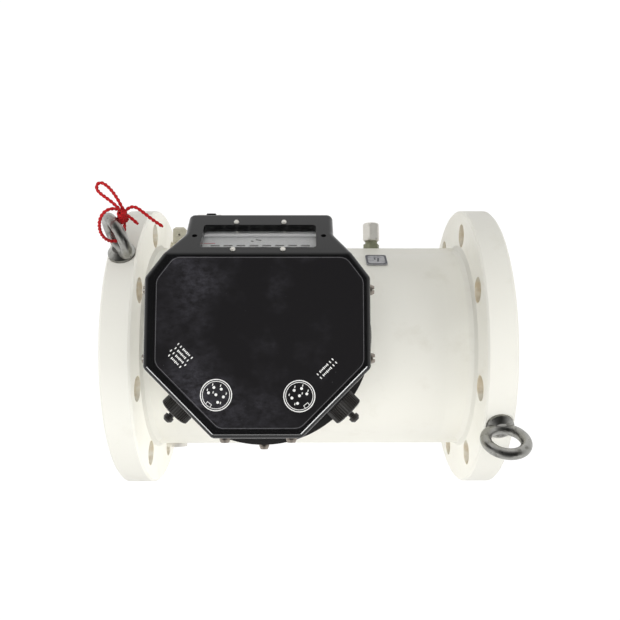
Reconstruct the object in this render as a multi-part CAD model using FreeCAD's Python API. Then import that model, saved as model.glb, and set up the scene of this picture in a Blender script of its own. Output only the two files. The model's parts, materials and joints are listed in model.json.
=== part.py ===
import FreeCAD, Part
import math
import os

from FreeCAD import Placement, Rotation, Vector

# Turbine gas meter for a 4 inch line, in millimetres.
# The origin is the centre of the inlet sealing face. Gas flows along +X, the reading window
# faces -Y and the index head stands on top, along +Z.

# Line connection
face_to_face = 300.0
flange_diameter = 228.6
flange_thickness = 23.9
flange_edge_chamfer = 1.5
raised_face_diameter = 157.2
raised_face_height = 1.6
bolt_edge_distance = 19.05
bolt_hole_diameter = 19.05
bolt_count = 8
line_bore = 102.0

# Body casting
barrel_radius = 79.0
hub_rise = 1.0
hub_length = 20.0
hub_root_radius = 5.5
side_pad_rise = 3.5
side_pad_flat = 20.0
side_pad_spread_deg = 34.0
neck_radius = 50.0
neck_height = 19.0
neck_bore_radius = 30.0
neck_fillet = 7.0

# Fits
slip_clearance = 0.1
running_clearance = 0.05
moving_gap = 0.4

# Measuring cartridge
liner_wall = 12.4
liner_front = 8.0
liner_end = 232.0
retaining_ring_thickness = 2.5
retaining_ring_depth = 3.0
retaining_ring_gap = 8.0
hub_flow_radius = 36.0
hub_shell = 5.0
nose_tip = 12.0
nose_length = 30.0
straightener_end = 88.0
vane_count = 12
vane_thickness = 2.0
vane_start = 34.0
vane_end = 84.0

# Turbine rotor
rotor_plane = 99.0
rotor_width = 17.0
blade_count = 16
blade_width = 16.0
blade_thickness = 1.8
blade_angle_deg = 45.0
blade_tip_gap = 0.6
rotor_rim = 4.0
rotor_web = 5.0
rotor_boss_radius = 9.0
rotor_boss_length = 13.0
rotor_nut_across_flats = 13.0
rotor_nut_height = 6.0

# Rotor shaft and bearings
front_journal_radius = 4.0
rear_journal_radius = 3.0
front_bearing_radius = 9.5
rear_bearing_radius = 8.5
bearing_width = 6.0
bearing_shoulder = 3.0
shaft_collar_step = 2.0
worm_turns = 5

# Gear housing and tail cone
housing_start = 111.0
housing_end = 212.0
housing_front_wall = 14.0
frame_seat = 150.0
frame_lip = 6.0
strut_count = 6
strut_thickness = 4.0
strut_start = 150.0
strut_end = 206.0
post_radius = 9.0
post_bore_radius = 4.5
tail_length = 72.0
tail_tip_radius = 7.0
tail_spigot = 9.0

# Gear train in the body
drive_module = 1.0
drive_worm_radius = 5.0
worm_wheel_teeth = 20
worm_wheel_width = 4.0
change_gear_teeth = 15
change_gear_width = 3.0
tooth_share = 0.36
gear_plate_level = 8.0
gear_plate = 3.0
lay_shaft_radius = 2.0
lay_hub_radius = 4.0
frame_margin = 8.0
column_radius = 2.5

# Coupling flange between the gas space and the head
head_x = 181.0
coupling_radius = 47.0
coupling_thickness = 10.0
coupling_spigot = 10.0
coupling_hub_radius = 34.0
coupling_hub_height = 16.0
coupling_wall = 1.5
coupling_seal_width = 5.0
coupling_seal_height = 2.0
coupling_screw_circle = 82.0
coupling_screw_count = 6
coupling_screw_radius = 2.5
coupling_screw_head_radius = 4.2
coupling_screw_head_height = 5.0
coupling_screw_grip = 14.0
magnet_radius = 11.0
magnet_cavity_radius = 14.0
drive_magnet_height = 8.0
bush_height = 6.0
clip_thickness = 2.0
clip_width = 5.0
clip_groove = 2.0
clip_gap = 8.0
clip_land = 1.7

# Index head housing
base_radius = 73.4
base_chamfer = 5.0
base_wall = 4.0
base_floor = 4.5
base_height = 22.0
base_lip = 4.0
base_opening_radius = 50.0
base_collar_wall = 6.0
hood_half_width = 67.2
hood_back = 64.0
hood_front = 75.6
hood_side_front = 31.0
hood_box_half_width = 46.0
hood_shoulder = 59.0
hood_back_chamfer = 41.0
hood_height = 66.0
hood_wall = 3.5
hood_corner_radius = 4.0
hood_edge_radius = 3.5
slope_start = 44.7
slope_angle_deg = 45.0
label_margin = 5.4
label_shift = -1.6
label_front_gap = 1.6
label_thickness = 0.5
label_corner_radius = 8.0

# Reading window, measured in the plane of the sloped front
window_wall = 5.0
window_width = 70.0
window_height = 24.8
window_drop = 19.4
window_corner_radius = 2.0
pane_margin = 5.0
pane_thickness = 2.5
clamp_lap = 4.0
clamp_thickness = 2.0
window_screw_spacing = 30.0
window_screw_offset = 2.6
window_screw_head_radius = 1.6
window_screw_head_height = 1.3
window_screw_radius = 1.1
seal_hole_spacing = 79.4
seal_hole_radius = 1.6
seal_hole_depth = 3.0

# Number drums and their face plate
drum_count = 8
drum_pitch = 8.14
drum_width = 7.5
drum_radius = 9.5
drum_shaft_radius = 2.0
drum_plate_gap = 0.6
plate_depth = 11.0
plate_thickness = 1.0
plate_width = 73.0
plate_height = 38.0
aperture_width = 6.2
aperture_height = 10.0

# Index gear train
index_module = 0.8
index_worm_radius = 4.0
index_wheel_teeth = 20
index_wheel_width = 3.0
cross_pinion_teeth = 23
idler_teeth = 28
drum_gear_teeth = 20
index_gear_width = 2.5
index_worm_turns = 5
index_shaft_radius = 2.0
cross_shaft_radius = 1.5
cross_rise = 13.0
train_stretch = 0.985
follower_height = 4.2
chassis_plate = 2.0
chassis_side_offset = 36.5
chassis_foot_front = 58.0
chassis_foot_back = 4.0
chassis_back_margin = 3.0
bridge_rise = 12.0
bridge_half_width = 8.0
bridge_shift = 2.0
chassis_top_inset = 4.0
chassis_top_width = 6.0

# Fasteners of the head
hood_screw_rise = 50.0
hood_screw_head_radius = 3.3
hood_screw_head_height = 3.5
hood_screw_radius = 1.6
hood_screw_side_front = 25.0
hood_screw_side_back = 17.0
hood_screw_back_offset = 20.0
tab_width = 8.0
tab_thickness = 3.0
lock_screw_rise = 9.0
lock_screw_head_radius = 3.4
lock_screw_head_height = 4.0
lock_screw_radius = 2.0

# Signal sockets and dust caps
socket_rise = 20.0
socket_side_shift = 4.0
socket_flange_radius = 10.5
socket_flange_thickness = 2.5
socket_barrel_radius = 8.0
socket_barrel_length = 7.2
socket_recess_radius = 6.2
socket_recess_depth = 5.2
socket_tail_length = 7.0
socket_pin_count = 6
socket_pin_radius = 0.6
socket_pin_circle = 3.6
cap_radius = 10.6
cap_ridge_depth = 0.5
cap_ridges = 40
cap_length = 9.7
cap_edge_radius = 2.2
cap_end_wall = 2.0
knob_stem_radius = 2.0
knob_stem_length = 3.0
knob_radius = 3.3
knob_length = 3.8

# Fittings on the body
tap_x = 95.0
fitting_thread_radius = 5.5
port_floor = 4.0
port_spot_radius = 10.0
tap_collar_across_flats = 12.5
tap_collar_height = 5.0
tap_waist_radius = 5.2
tap_waist_height = 3.0
tap_nipple_radius = 4.5
tap_nipple_length = 12.0
tap_bore_radius = 2.0
tap_nut_across_flats = 13.0
tap_nut_height = 15.7
tap_nut_roof = 3.0
tap_nut_chamfer = 1.4
tap_hex_turn_deg = 15.0
tap_plate_lean_deg = 33.0
tap_plate_width = 17.0
tap_plate_height = 19.0
tap_plate_thickness = 1.0
tap_plate_corner = 2.0
plug_x = 262.0
sealing_plug_collar_radius = 8.0
sealing_plug_collar_height = 6.0
sealing_plug_across_flats = 11.0
sealing_plug_head = 14.0
sealing_plug_chamfer = 2.0
sealing_plug_hole_radius = 1.0
flat_plug_radius = 8.6
flat_plug_height = 3.5
flat_plug_key = 6.0
flat_plug_key_depth = 2.5

# Lifting eyes, set in the flange rims
eye_lean_deg = 33.75
eye_flat_depth = 0.7
eye_collar_radius = 10.0
eye_neck_radius = 6.0
eye_neck_height = 6.0
eye_ring_radius = 14.0
eye_ring_wire = 4.0
eye_ring_height = 18.0
eye_thread_radius = 4.0
eye_thread_length = 13.0
eye_flat_margin = 0.5
inlet_eye_turn_deg = 0.0
outlet_eye_turn_deg = 126.0

# Tie cord: a loop through the outlet eye's ring, a bow and two tails that leave one knot.
# Its points are measured from the centre of that ring.
cord_diameter = 2.2
cord_bend_share = 0.45
knot_offset = Vector(-6.4, -12.0, 9.6)
knot_radius = 3.7
knot_length = 13.0
knot_end_radius = 2.4
knot_end_length = 3.0
tie_loop_route = [
    (-6.8, -14.7, 13.8),
    (-3.3, -15.7, 19.1),
    (1.6, -13.7, 22.6),
    (5.9, -9.3, 21.6),
    (8.4, -3.7, 16.5),
    (8.5, 1.2, 9.3),
    (5.9, 4.0, 1.7),
    (1.2, 3.3, -3.5),
    (-3.3, -0.4, -3.8),
    (-5.7, -5.1, 0.2),
    (-6.3, -9.1, 5.2),
]
tie_bow_route = [
    (-5.4, -15.8, 13.2),
    (-1.7, -19.7, 15.2),
    (3.5, -23.6, 16.6),
    (8.0, -26.9, 16.1),
    (11.3, -30.6, 14.6),
    (11.1, -34.7, 13.6),
    (8.0, -35.8, 13.1),
    (3.1, -32.4, 13.6),
    (-1.2, -27.3, 14.6),
    (-4.5, -22.1, 14.6),
    (-6.9, -17.0, 13.1),
]
tie_tail_long_route = [
    (-8.4, -15.3, 10.9),
    (-10.7, -17.8, 11.6),
    (-14.6, -18.8, 11.6),
    (-18.4, -16.9, 11.1),
    (-23.4, -12.9, 9.6),
    (-28.6, -9.0, 7.1),
    (-33.8, -5.9, 3.7),
]
tie_tail_short_route = [
    (-8.9, -13.3, 9.1),
    (-13.1, -10.4, 8.1),
    (-16.5, -7.2, 5.8),
]

# Values worked out from the sizes above
line_radius = line_bore / 2
liner_radius = line_radius + liner_wall
seat_radius = liner_radius + slip_clearance
vane_tip_radius = line_radius - slip_clearance
pad_edge_angle = math.radians(side_pad_spread_deg)
bolt_circle = flange_diameter - 2 * bolt_edge_distance
hub_radius = barrel_radius + hub_rise
side_pad_reach = barrel_radius + side_pad_rise
fitting_thread_length = side_pad_reach - seat_radius - port_floor
tap_nut_seat = tap_collar_height + tap_waist_height
eye_seat_radius = flange_diameter / 2 - eye_flat_depth
neck_top = barrel_radius + neck_height
coupling_top = neck_top + coupling_thickness
coupling_hub_top = coupling_top + coupling_hub_height
lock_screw_level = coupling_top + lock_screw_rise
base_top = coupling_top + base_height
hood_top = base_top + hood_height
socket_level = base_top + socket_rise
hood_screw_level = base_top + hood_screw_rise
cavity_top = coupling_hub_top - coupling_wall
chassis_floor = base_top + chassis_plate
drive_wheel_offset = drive_worm_radius + drive_module * worm_wheel_teeth / 2
cross_y = -(index_worm_radius + index_module * index_wheel_teeth / 2)
front_bearing_start = housing_start + housing_front_wall - bearing_width - bearing_shoulder
rear_bearing_start = housing_end - tail_spigot
gear_level = gear_plate_level + gear_plate + moving_gap
slope_turn = Rotation(Vector(1, 0, 0), slope_angle_deg)
hood_chamfer_reach = hood_half_width + hood_back - hood_back_chamfer
along_x = Vector(1, 0, 0)
along_y = Vector(0, 1, 0)
along_z = Vector(0, 0, 1)


def cylinder(radius, start, axis, length):
    return Part.makeCylinder(radius, length, start, axis)


def polygon_face(points):
    return Part.Face(Part.makePolygon(points + points[:1]))


def turned_x(profile):
    """Turn a closed (x, radius) profile about the line axis, with the seam underneath."""
    face = polygon_face([Vector(x, 0, -r) for x, r in profile])
    return face.revolve(Vector(0, 0, 0), along_x, 360)


def turned_z(profile, x=head_x, y=0.0):
    """Turn a closed (radius, z) profile about an upright axis."""
    face = polygon_face([Vector(x + r, y, z) for r, z in profile])
    return face.revolve(Vector(x, y, 0), along_z, 360)


def ring_x(outer, inner, start, end):
    return turned_x([(start, inner), (end, inner), (end, outer), (start, outer)])


def ring_z(outer, inner, start, end):
    return turned_z([(inner, start), (outer, start), (outer, end), (inner, end)])


def turned_about(shape, axis, angle_deg, centre=Vector(0, 0, 0)):
    copy = shape.copy()
    copy.rotate(centre, axis, angle_deg)
    return copy


def moved(shape, place):
    copy = shape.copy()
    copy.Placement = place.multiply(copy.Placement)
    return copy


def fused(shapes):
    return shapes[0].multiFuse(shapes[1:]).removeSplitter()


def rounded_plate(width, height, thickness, corner):
    """Flat plate centred on the local origin, standing on local z = 0."""
    plate = Part.makeBox(width, height, thickness, Vector(-width / 2, -height / 2, 0))
    upright = [e for e in plate.Edges if abs(e.Vertexes[0].Z - e.Vertexes[1].Z) > thickness / 2]
    return plate.makeFillet(corner, upright)


def hexagon(across_flats, length):
    """Hexagonal bar along local z, with flats facing local y."""
    corner = across_flats / 2 / math.cos(math.pi / 6)
    turns = [math.radians(60 * k) for k in range(6)]
    face = polygon_face([Vector(corner * math.cos(t), corner * math.sin(t), 0) for t in turns])
    return face.extrude(Vector(0, 0, length))


def pan_screw(head_radius, head_height, radius, length):
    """Screw whose head sits on local z = 0 and whose shank runs down local z."""
    crown = head_radius * 0.75
    head = [(0, 0), (head_radius, 0), (head_radius, head_height / 2), (crown, head_height), (0, head_height)]
    solid = turned_z(head, 0.0).fuse(cylinder(radius, Vector(0, 0, -length), along_z, length))
    slot = Part.makeBox(2 * head_radius, head_height / 3, head_height / 2)
    slot.translate(Vector(-head_radius, -head_height / 6, head_height / 2 + head_height / 8))
    return solid.cut(slot).removeSplitter()


def spur_gear(module, teeth, width, phase_deg=0.0):
    """Gear about local z with thin straight-sided teeth; one tooth points along phase_deg."""
    pitch_radius = module * teeth / 2
    tip = pitch_radius + module
    root = pitch_radius - 1.25 * module
    slope = math.tan(math.radians(20))
    half_tooth = tooth_share * math.pi * module / 2
    tip_half = (half_tooth - module * slope) / tip
    root_half = (half_tooth + 1.25 * module * slope) / root
    points = []
    for k in range(teeth):
        middle = math.radians(phase_deg) + 2 * math.pi * k / teeth
        corners = [(root, -root_half), (tip, -tip_half), (tip, tip_half), (root, root_half)]
        points += [Vector(r * math.cos(middle + a), r * math.sin(middle + a), 0) for r, a in corners]
    return polygon_face(points).extrude(Vector(0, 0, width))


def worm_thread(module, pitch_radius, turns):
    """Right-hand worm along local z; its thread faces local +x at z = 0 and every pitch above."""
    pitch = math.pi * module
    length = turns * pitch
    root = pitch_radius - 1.25 * module
    tip = pitch_radius + module
    slope = math.tan(math.radians(20))
    half_tooth = tooth_share * pitch / 2
    buried = root - 0.3 * module
    root_half = half_tooth + 1.55 * module * slope
    tip_half = half_tooth - module * slope
    section = [(buried, -root_half), (tip, -tip_half), (tip, tip_half), (buried, root_half)]
    wire = Part.makePolygon([Vector(r, 0, z) for r, z in section + section[:1]])
    path = Part.Wire(Part.makeHelix(pitch, length + 2 * pitch, buried))
    thread = path.makePipeShell([wire], True, True)
    thread.translate(Vector(0, 0, -pitch))
    trim = cylinder(tip + module, Vector(0, 0, 0), along_z, length)
    return thread.common(trim).fuse(cylinder(root, Vector(0, 0, 0), along_z, length)).removeSplitter()


# Body casting


def flange_profile():
    """Half section of the inlet flange, solid to the line axis."""
    edge = flange_edge_chamfer
    rim = flange_diameter / 2
    lip = raised_face_diameter / 2
    return [
        (0, 0),
        (0, lip),
        (raised_face_height, lip),
        (raised_face_height, rim - edge),
        (raised_face_height + edge, rim),
        (flange_thickness - edge, rim),
        (flange_thickness, rim - edge),
        (flange_thickness, 0),
    ]


def body_profile():
    """Half section of the barrel between the flanges, with a hub against each of them."""
    side = [
        (flange_thickness, 0),
        (flange_thickness, hub_radius + hub_root_radius),
        (flange_thickness + hub_root_radius / 3, hub_radius + hub_root_radius / 3),
        (flange_thickness + hub_root_radius, hub_radius),
        (flange_thickness + hub_length, barrel_radius),
    ]
    return side + [(face_to_face - x, r) for x, r in reversed(side)]


def pad_edge():
    """Where the upper slope of a side pad leaves the barrel."""
    return barrel_radius * math.cos(pad_edge_angle), barrel_radius * math.sin(pad_edge_angle)


def side_pads():
    """Drafted flats along both sides that carry the threaded ports."""
    edge_y, edge_z = pad_edge()
    half_flat = side_pad_flat / 2
    start = flange_thickness
    right = [(edge_y, edge_z), (side_pad_reach, half_flat), (side_pad_reach, -half_flat), (edge_y, -edge_z)]
    outline = right + [(-y, -z) for y, z in right]
    face = polygon_face([Vector(start, y, z) for y, z in outline])
    return face.extrude(Vector(face_to_face - 2 * start, 0, 0))


def bolt_holes():
    """Through holes of both flanges, long enough to stay open beside a wide hub."""
    length = flange_thickness + hub_length
    cuts = []
    for k in range(bolt_count):
        angle = 2 * math.pi * (k + 0.5) / bolt_count
        y = bolt_circle / 2 * math.sin(angle)
        z = bolt_circle / 2 * math.cos(angle)
        for start in (0, face_to_face - length):
            cuts.append(cylinder(bolt_hole_diameter / 2, Vector(start, y, z), along_x, length))
    return cuts


def eye_place(x, side, turn_deg):
    """Seat of a lifting eye: local z points out of the rim, the ring's plane is turned about it."""
    lean = Rotation(along_x, -side * eye_lean_deg)
    out = lean.multVec(along_z)
    seat = Vector(x, out.y * eye_seat_radius, out.z * eye_seat_radius)
    return Placement(seat, lean.multiply(Rotation(along_z, turn_deg)))


inlet_eye = eye_place(flange_thickness / 2, 1, inlet_eye_turn_deg)
outlet_eye = eye_place(face_to_face - flange_thickness / 2, -1, outlet_eye_turn_deg)
outlet_ring_centre = outlet_eye.multVec(Vector(0, 0, eye_ring_height))


def eye_holes():
    """Threaded holes in the rims and the flats that the eyes seat on."""
    drill = cylinder(eye_thread_radius, Vector(0, 0, -eye_thread_length - 1), along_z, eye_thread_length + 1)
    flat = cylinder(eye_collar_radius + eye_flat_margin, Vector(0, 0, 0), along_z, eye_neck_height)
    return [moved(cut, place) for place in (inlet_eye, outlet_eye) for cut in (drill, flat)]


def body_ports():
    """Threaded ports in the side pads, each with a flat cut for the fitting's collar."""
    bottom = Vector(0, 0, -fitting_thread_length)
    thread = cylinder(fitting_thread_radius, bottom, along_z, fitting_thread_length)
    spot = cylinder(port_spot_radius, Vector(0, 0, 0), along_z, hub_length)
    places = [port_place(tap_x, -1), port_place(plug_x, -1), port_place(plug_x, 1)]
    depth = side_pad_reach - seat_radius + liner_wall / 2
    tap = cylinder(tap_bore_radius, Vector(tap_x, -side_pad_reach, 0), along_y, depth)
    return [tap] + [moved(cut, place) for place in places for cut in (thread, spot)]


def coupling_screw_points():
    turns = [2 * math.pi * (k + 0.5) / coupling_screw_count for k in range(coupling_screw_count)]
    radius = coupling_screw_circle / 2
    return [Vector(head_x + radius * math.cos(t), radius * math.sin(t), 0) for t in turns]


def coupling_screw_holes():
    """Tapped holes in the top of the neck."""
    depth = coupling_screw_grip - coupling_thickness + coupling_screw_head_height
    floor = Vector(0, 0, neck_top - depth)
    return [cylinder(coupling_screw_radius, p + floor, along_z, depth) for p in coupling_screw_points()]


def line_bores():
    """Bore of the gas line, seat of the measuring cartridge and groove of its retaining ring."""
    ring_groove = Vector(liner_front - retaining_ring_thickness, 0, 0)
    groove_radius = seat_radius + retaining_ring_depth
    return [
        cylinder(line_radius, Vector(0, 0, 0), along_x, face_to_face),
        cylinder(seat_radius, Vector(0, 0, 0), along_x, liner_end),
        cylinder(groove_radius, ring_groove, along_x, retaining_ring_thickness),
    ]


def flange_ring(profile):
    """Line flange welded against the end of the barrel."""
    cuts = line_bores() + bolt_holes() + eye_holes()
    return turned_x(profile).cut(Part.makeCompound(cuts)).removeSplitter()


def inlet_flange_ring():
    return flange_ring(flange_profile())


def outlet_flange_ring():
    return flange_ring([(face_to_face - x, r) for x, r in reversed(flange_profile())])


def meter_body():
    """Barrel with the side pads and the neck that carries the index head."""
    barrel = turned_x(body_profile()).fuse(side_pads()).removeSplitter()
    neck = cylinder(neck_radius, Vector(head_x, 0, 0), along_z, neck_top)
    solid = barrel.fuse(neck).removeSplitter()
    foot = [e for e in solid.Edges if is_neck_foot(e)]
    solid = solid.makeFillet(neck_fillet, foot)
    cuts = [
        cylinder(neck_bore_radius, Vector(head_x, 0, 0), along_z, neck_top),
        seal_groove(slip_clearance),
    ]
    cuts += line_bores() + bolt_holes() + body_ports() + coupling_screw_holes()
    return solid.cut(Part.makeCompound(cuts)).removeSplitter()


def is_neck_foot(edge):
    """True for the curve where the neck grows out of the upper barrel."""
    middle = edge.valueAt((edge.FirstParameter + edge.LastParameter) / 2)
    away = math.hypot(middle.x - head_x, middle.y)
    low = barrel_radius / 2 < edge.BoundBox.ZMin
    return abs(away - neck_radius) < 0.01 and low and edge.BoundBox.ZMax < neck_top - 1


def seal_groove(clearance):
    middle = (neck_bore_radius + coupling_screw_circle / 2 - coupling_screw_radius) / 2
    half = coupling_seal_width / 2 + clearance
    return ring_z(middle + half, middle - half, neck_top - coupling_seal_height, neck_top)


# Measuring cartridge


def cartridge_liner():
    tube = ring_x(liner_radius, line_radius, liner_front, liner_end)
    tap = cylinder(tap_bore_radius, Vector(tap_x, 0, 0), -along_y, liner_radius + 1)
    top = cylinder(post_bore_radius, Vector(head_x, 0, 0), along_z, liner_radius + 1)
    return tube.cut(Part.makeCompound([tap, top]))


def retaining_ring():
    """Open ring that springs into the groove in front of the liner."""
    outer = seat_radius + retaining_ring_depth - slip_clearance
    inner = line_radius + liner_wall / 2
    ring = ring_x(outer, inner, liner_front - retaining_ring_thickness + slip_clearance, liner_front)
    gap = Part.makeBox(3 * retaining_ring_thickness, retaining_ring_gap, outer + 1)
    gap.translate(Vector(liner_front - 2 * retaining_ring_thickness, -retaining_ring_gap / 2, -outer - 1))
    return ring.cut(gap)


def nose_profile():
    """Outline of the straightener hub: a rounded nose and a plain tail with a hollow back."""
    shoulder = nose_tip + nose_length
    nose = []
    for k in range(9):
        turn = math.pi / 2 * k / 8
        nose.append((shoulder - nose_length * math.cos(turn), hub_flow_radius * math.sin(turn)))
    hollow = hub_flow_radius - hub_shell
    nose += [(straightener_end, hub_flow_radius), (straightener_end, hollow)]
    return nose + [(shoulder, hollow), (shoulder, 0)]


def radial_blades(count, thickness, start, end, root, tip):
    """Flat plates along the flow, trimmed round at the tip."""
    plate = Part.makeBox(end - start, thickness, tip + 5 - root)
    plate.translate(Vector(start, -thickness / 2, root))
    keep = cylinder(tip, Vector(start - 1, 0, 0), along_x, end - start + 2)
    plate = plate.common(keep)
    return [turned_about(plate, along_x, 360 * k / count) for k in range(count)]


def flow_straightener():
    hub = turned_x(nose_profile())
    root = hub_flow_radius - hub_shell / 2
    vanes = radial_blades(vane_count, vane_thickness, vane_start, vane_end, root, vane_tip_radius)
    return fused([hub] + vanes)


def blade_section(radius):
    """Section of a rotor blade at one radius, set on the local flow angle."""
    mean = (hub_flow_radius + line_radius) / 2
    rise = math.tan(math.radians(blade_angle_deg)) * radius / mean
    half = blade_width / 2
    edge = half - 2 * blade_thickness
    thick = blade_thickness / 2 * math.hypot(1, rise)
    shape = [(-half, 0), (-edge, thick), (edge, thick), (half, 0), (edge, -thick), (-edge, -thick)]
    points = [Vector(rotor_plane + x, x * rise + t, radius) for x, t in shape]
    return Part.makePolygon(points + points[:1])


def turbine_rotor():
    """Hub ring, web and boss with twisted blades."""
    tip = line_radius - blade_tip_gap
    inside = hub_flow_radius - rotor_rim
    half = rotor_width / 2
    ring = ring_x(hub_flow_radius, inside, rotor_plane - half, rotor_plane + half)
    web = ring_x(inside + 1, rotor_boss_radius - 1, rotor_plane - rotor_web / 2, rotor_plane + rotor_web / 2)
    boss_half = rotor_boss_length / 2
    boss = ring_x(rotor_boss_radius, front_journal_radius, rotor_plane - boss_half, rotor_plane + boss_half)
    sections = [blade_section(hub_flow_radius - rotor_rim / 2), blade_section(line_radius + 1)]
    blade = Part.makeLoft(sections, True, True)
    blade = blade.common(cylinder(tip, Vector(rotor_plane - rotor_width, 0, 0), along_x, 2 * rotor_width))
    blades = [turned_about(blade, along_x, 360 * k / blade_count) for k in range(blade_count)]
    return fused([ring, web, boss] + blades)


def rotor_shaft():
    """Stepped shaft with the worm cut on its rear part."""
    nose = rotor_plane - rotor_boss_length / 2 - rotor_nut_height - 1
    collar_start = rotor_plane + rotor_boss_length / 2
    collar_end = front_bearing_start - moving_gap
    step = front_bearing_start + bearing_width + 2
    tail = rear_bearing_start + bearing_width
    pitch = math.pi * drive_module
    worm_start = head_x - pitch / 4 - pitch * (worm_turns // 2)
    body = turned_x([
        (nose, 0),
        (nose, front_journal_radius),
        (collar_start, front_journal_radius),
        (collar_start, front_journal_radius + shaft_collar_step),
        (collar_end, front_journal_radius + shaft_collar_step),
        (collar_end, front_journal_radius),
        (step, front_journal_radius),
        (step, rear_journal_radius),
        (tail, rear_journal_radius),
        (tail, 0),
    ])
    worm = worm_thread(drive_module, drive_worm_radius, worm_turns)
    worm = moved(worm, Placement(Vector(worm_start, 0, 0), Rotation(along_y, 90)))
    return body.fuse(worm).removeSplitter()


def rotor_nut():
    nut = hexagon(rotor_nut_across_flats, rotor_nut_height)
    start = rotor_plane - rotor_boss_length / 2 - rotor_nut_height
    nut = moved(nut, Placement(Vector(start, 0, 0), Rotation(along_y, 90)))
    return nut.cut(cylinder(front_journal_radius, Vector(start, 0, 0), along_x, rotor_nut_height))


def rotor_bearings():
    front = ring_x(front_bearing_radius, front_journal_radius + running_clearance,
                   front_bearing_start, front_bearing_start + bearing_width)
    rear = ring_x(rear_bearing_radius, rear_journal_radius + running_clearance,
                  rear_bearing_start, rear_bearing_start + bearing_width)
    return Part.makeCompound([front, rear])


def gear_housing():
    """Hub behind the rotor, held by struts, with a hollow for the gears and a post for the column."""
    cavity = hub_flow_radius - hub_shell
    front_cavity = cavity - frame_lip
    hub = cylinder(hub_flow_radius, Vector(housing_start, 0, 0), along_x, housing_end - housing_start)
    root = hub_flow_radius - hub_shell / 2
    struts = radial_blades(strut_count, strut_thickness, strut_start, strut_end, root, vane_tip_radius)
    keep = cylinder(vane_tip_radius, Vector(strut_start, 0, 0), along_x, strut_end - strut_start)
    post = cylinder(post_radius, Vector(head_x, 0, root), along_z, line_radius - root).common(keep)
    solid = fused([hub, post] + struts)
    inside = housing_start + housing_front_wall
    cuts = [
        cylinder(front_cavity, Vector(inside, 0, 0), along_x, housing_end - inside),
        cylinder(cavity, Vector(frame_seat, 0, 0), along_x, housing_end - frame_seat),
        cylinder(front_bearing_radius, Vector(front_bearing_start, 0, 0), along_x,
                 inside - front_bearing_start),
        cylinder(front_journal_radius + shaft_collar_step + moving_gap, Vector(housing_start, 0, 0), along_x,
                 housing_front_wall),
        cylinder(post_bore_radius, Vector(head_x, 0, 0), along_z, line_radius),
    ]
    return solid.cut(Part.makeCompound(cuts)).removeSplitter()


def tail_cone():
    """Cover that closes the gear housing, holds the rear bearing and lets the stream close up."""
    spigot = hub_flow_radius - hub_shell - slip_clearance
    bearing_end = rear_bearing_start + bearing_width
    tip = housing_end + tail_length
    points = [
        (rear_bearing_start, rear_bearing_radius),
        (rear_bearing_start, spigot),
        (housing_end, spigot),
        (housing_end, hub_flow_radius),
    ]
    for k in range(1, 8):
        share = k / 8
        radius = tail_tip_radius + (hub_flow_radius - tail_tip_radius) * (1 - share ** 1.6)
        points.append((housing_end + share * (tail_length - tail_tip_radius), radius))
    relief = rear_journal_radius + shaft_collar_step / 2
    points += [
        (tip - tail_tip_radius, tail_tip_radius),
        (tip - tail_tip_radius / 3, tail_tip_radius * 0.7),
        (tip, 0),
        (bearing_end + bearing_shoulder, 0),
        (bearing_end + bearing_shoulder, relief),
        (bearing_end, relief),
        (bearing_end, rear_bearing_radius),
    ]
    return turned_x(points)


# Gear train in the body


def gear_frame():
    """Disc seated in the housing with two shelves that carry the upright shafts."""
    radius = hub_flow_radius - hub_shell - slip_clearance
    shelf_end = head_x + lay_hub_radius + frame_margin
    disc = cylinder(radius, Vector(frame_seat, 0, 0), along_x, gear_plate)
    shelf_width = frame_margin + drive_wheel_offset + 2 * lay_hub_radius
    top = Part.makeBox(shelf_end - frame_seat, shelf_width, gear_plate)
    top.translate(Vector(frame_seat, -frame_margin, gear_plate_level))
    low = Part.makeBox(shelf_end - frame_seat, 4 * lay_hub_radius, gear_plate)
    low.translate(Vector(frame_seat, drive_wheel_offset - 2 * lay_hub_radius, -gear_plate_level - gear_plate))
    keep = cylinder(radius, Vector(frame_seat, 0, 0), along_x, shelf_end - frame_seat)
    solid = fused([disc, top.common(keep), low.common(keep)])
    lay = Vector(head_x, drive_wheel_offset, -gear_plate_level - gear_plate)
    span = 2 * (gear_plate_level + gear_plate)
    cuts = [
        cylinder(drive_worm_radius + drive_module + 1, Vector(frame_seat, 0, 0), along_x, gear_plate),
        cylinder(lay_shaft_radius + running_clearance, lay, along_z, span),
        cylinder(column_radius + running_clearance, Vector(head_x, 0, gear_plate_level), along_z, gear_plate),
    ]
    return solid.cut(Part.makeCompound(cuts)).removeSplitter()


def lay_shaft():
    bottom = -gear_plate_level - gear_plate
    top = gear_level + change_gear_width
    return cylinder(lay_shaft_radius, Vector(head_x, drive_wheel_offset, bottom), along_z, top - bottom)


def lay_gears():
    """Worm wheel on a long hub between the shelves, and the driving change gear above them."""
    wheel = spur_gear(drive_module, worm_wheel_teeth, worm_wheel_width, -90 + 180 / worm_wheel_teeth)
    wheel.translate(Vector(0, 0, -worm_wheel_width / 2))
    reach = gear_plate_level - moving_gap
    hub = cylinder(lay_hub_radius, Vector(0, 0, -reach), along_z, 2 * reach)
    change = spur_gear(drive_module, change_gear_teeth, change_gear_width, -90)
    change.translate(Vector(0, 0, gear_level))
    bore = cylinder(lay_shaft_radius, Vector(0, 0, -reach), along_z, 2 * reach)
    upper = cylinder(lay_shaft_radius, Vector(0, 0, gear_level), along_z, change_gear_width)
    solids = [wheel.fuse(hub).cut(bore).removeSplitter(), change.cut(upper)]
    place = Placement(Vector(head_x, drive_wheel_offset, 0), Rotation())
    return Part.makeCompound([moved(s, place) for s in solids])


def column_shaft():
    top = cavity_top - moving_gap
    return cylinder(column_radius, Vector(head_x, 0, gear_plate_level), along_z, top - gear_plate_level)


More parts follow.
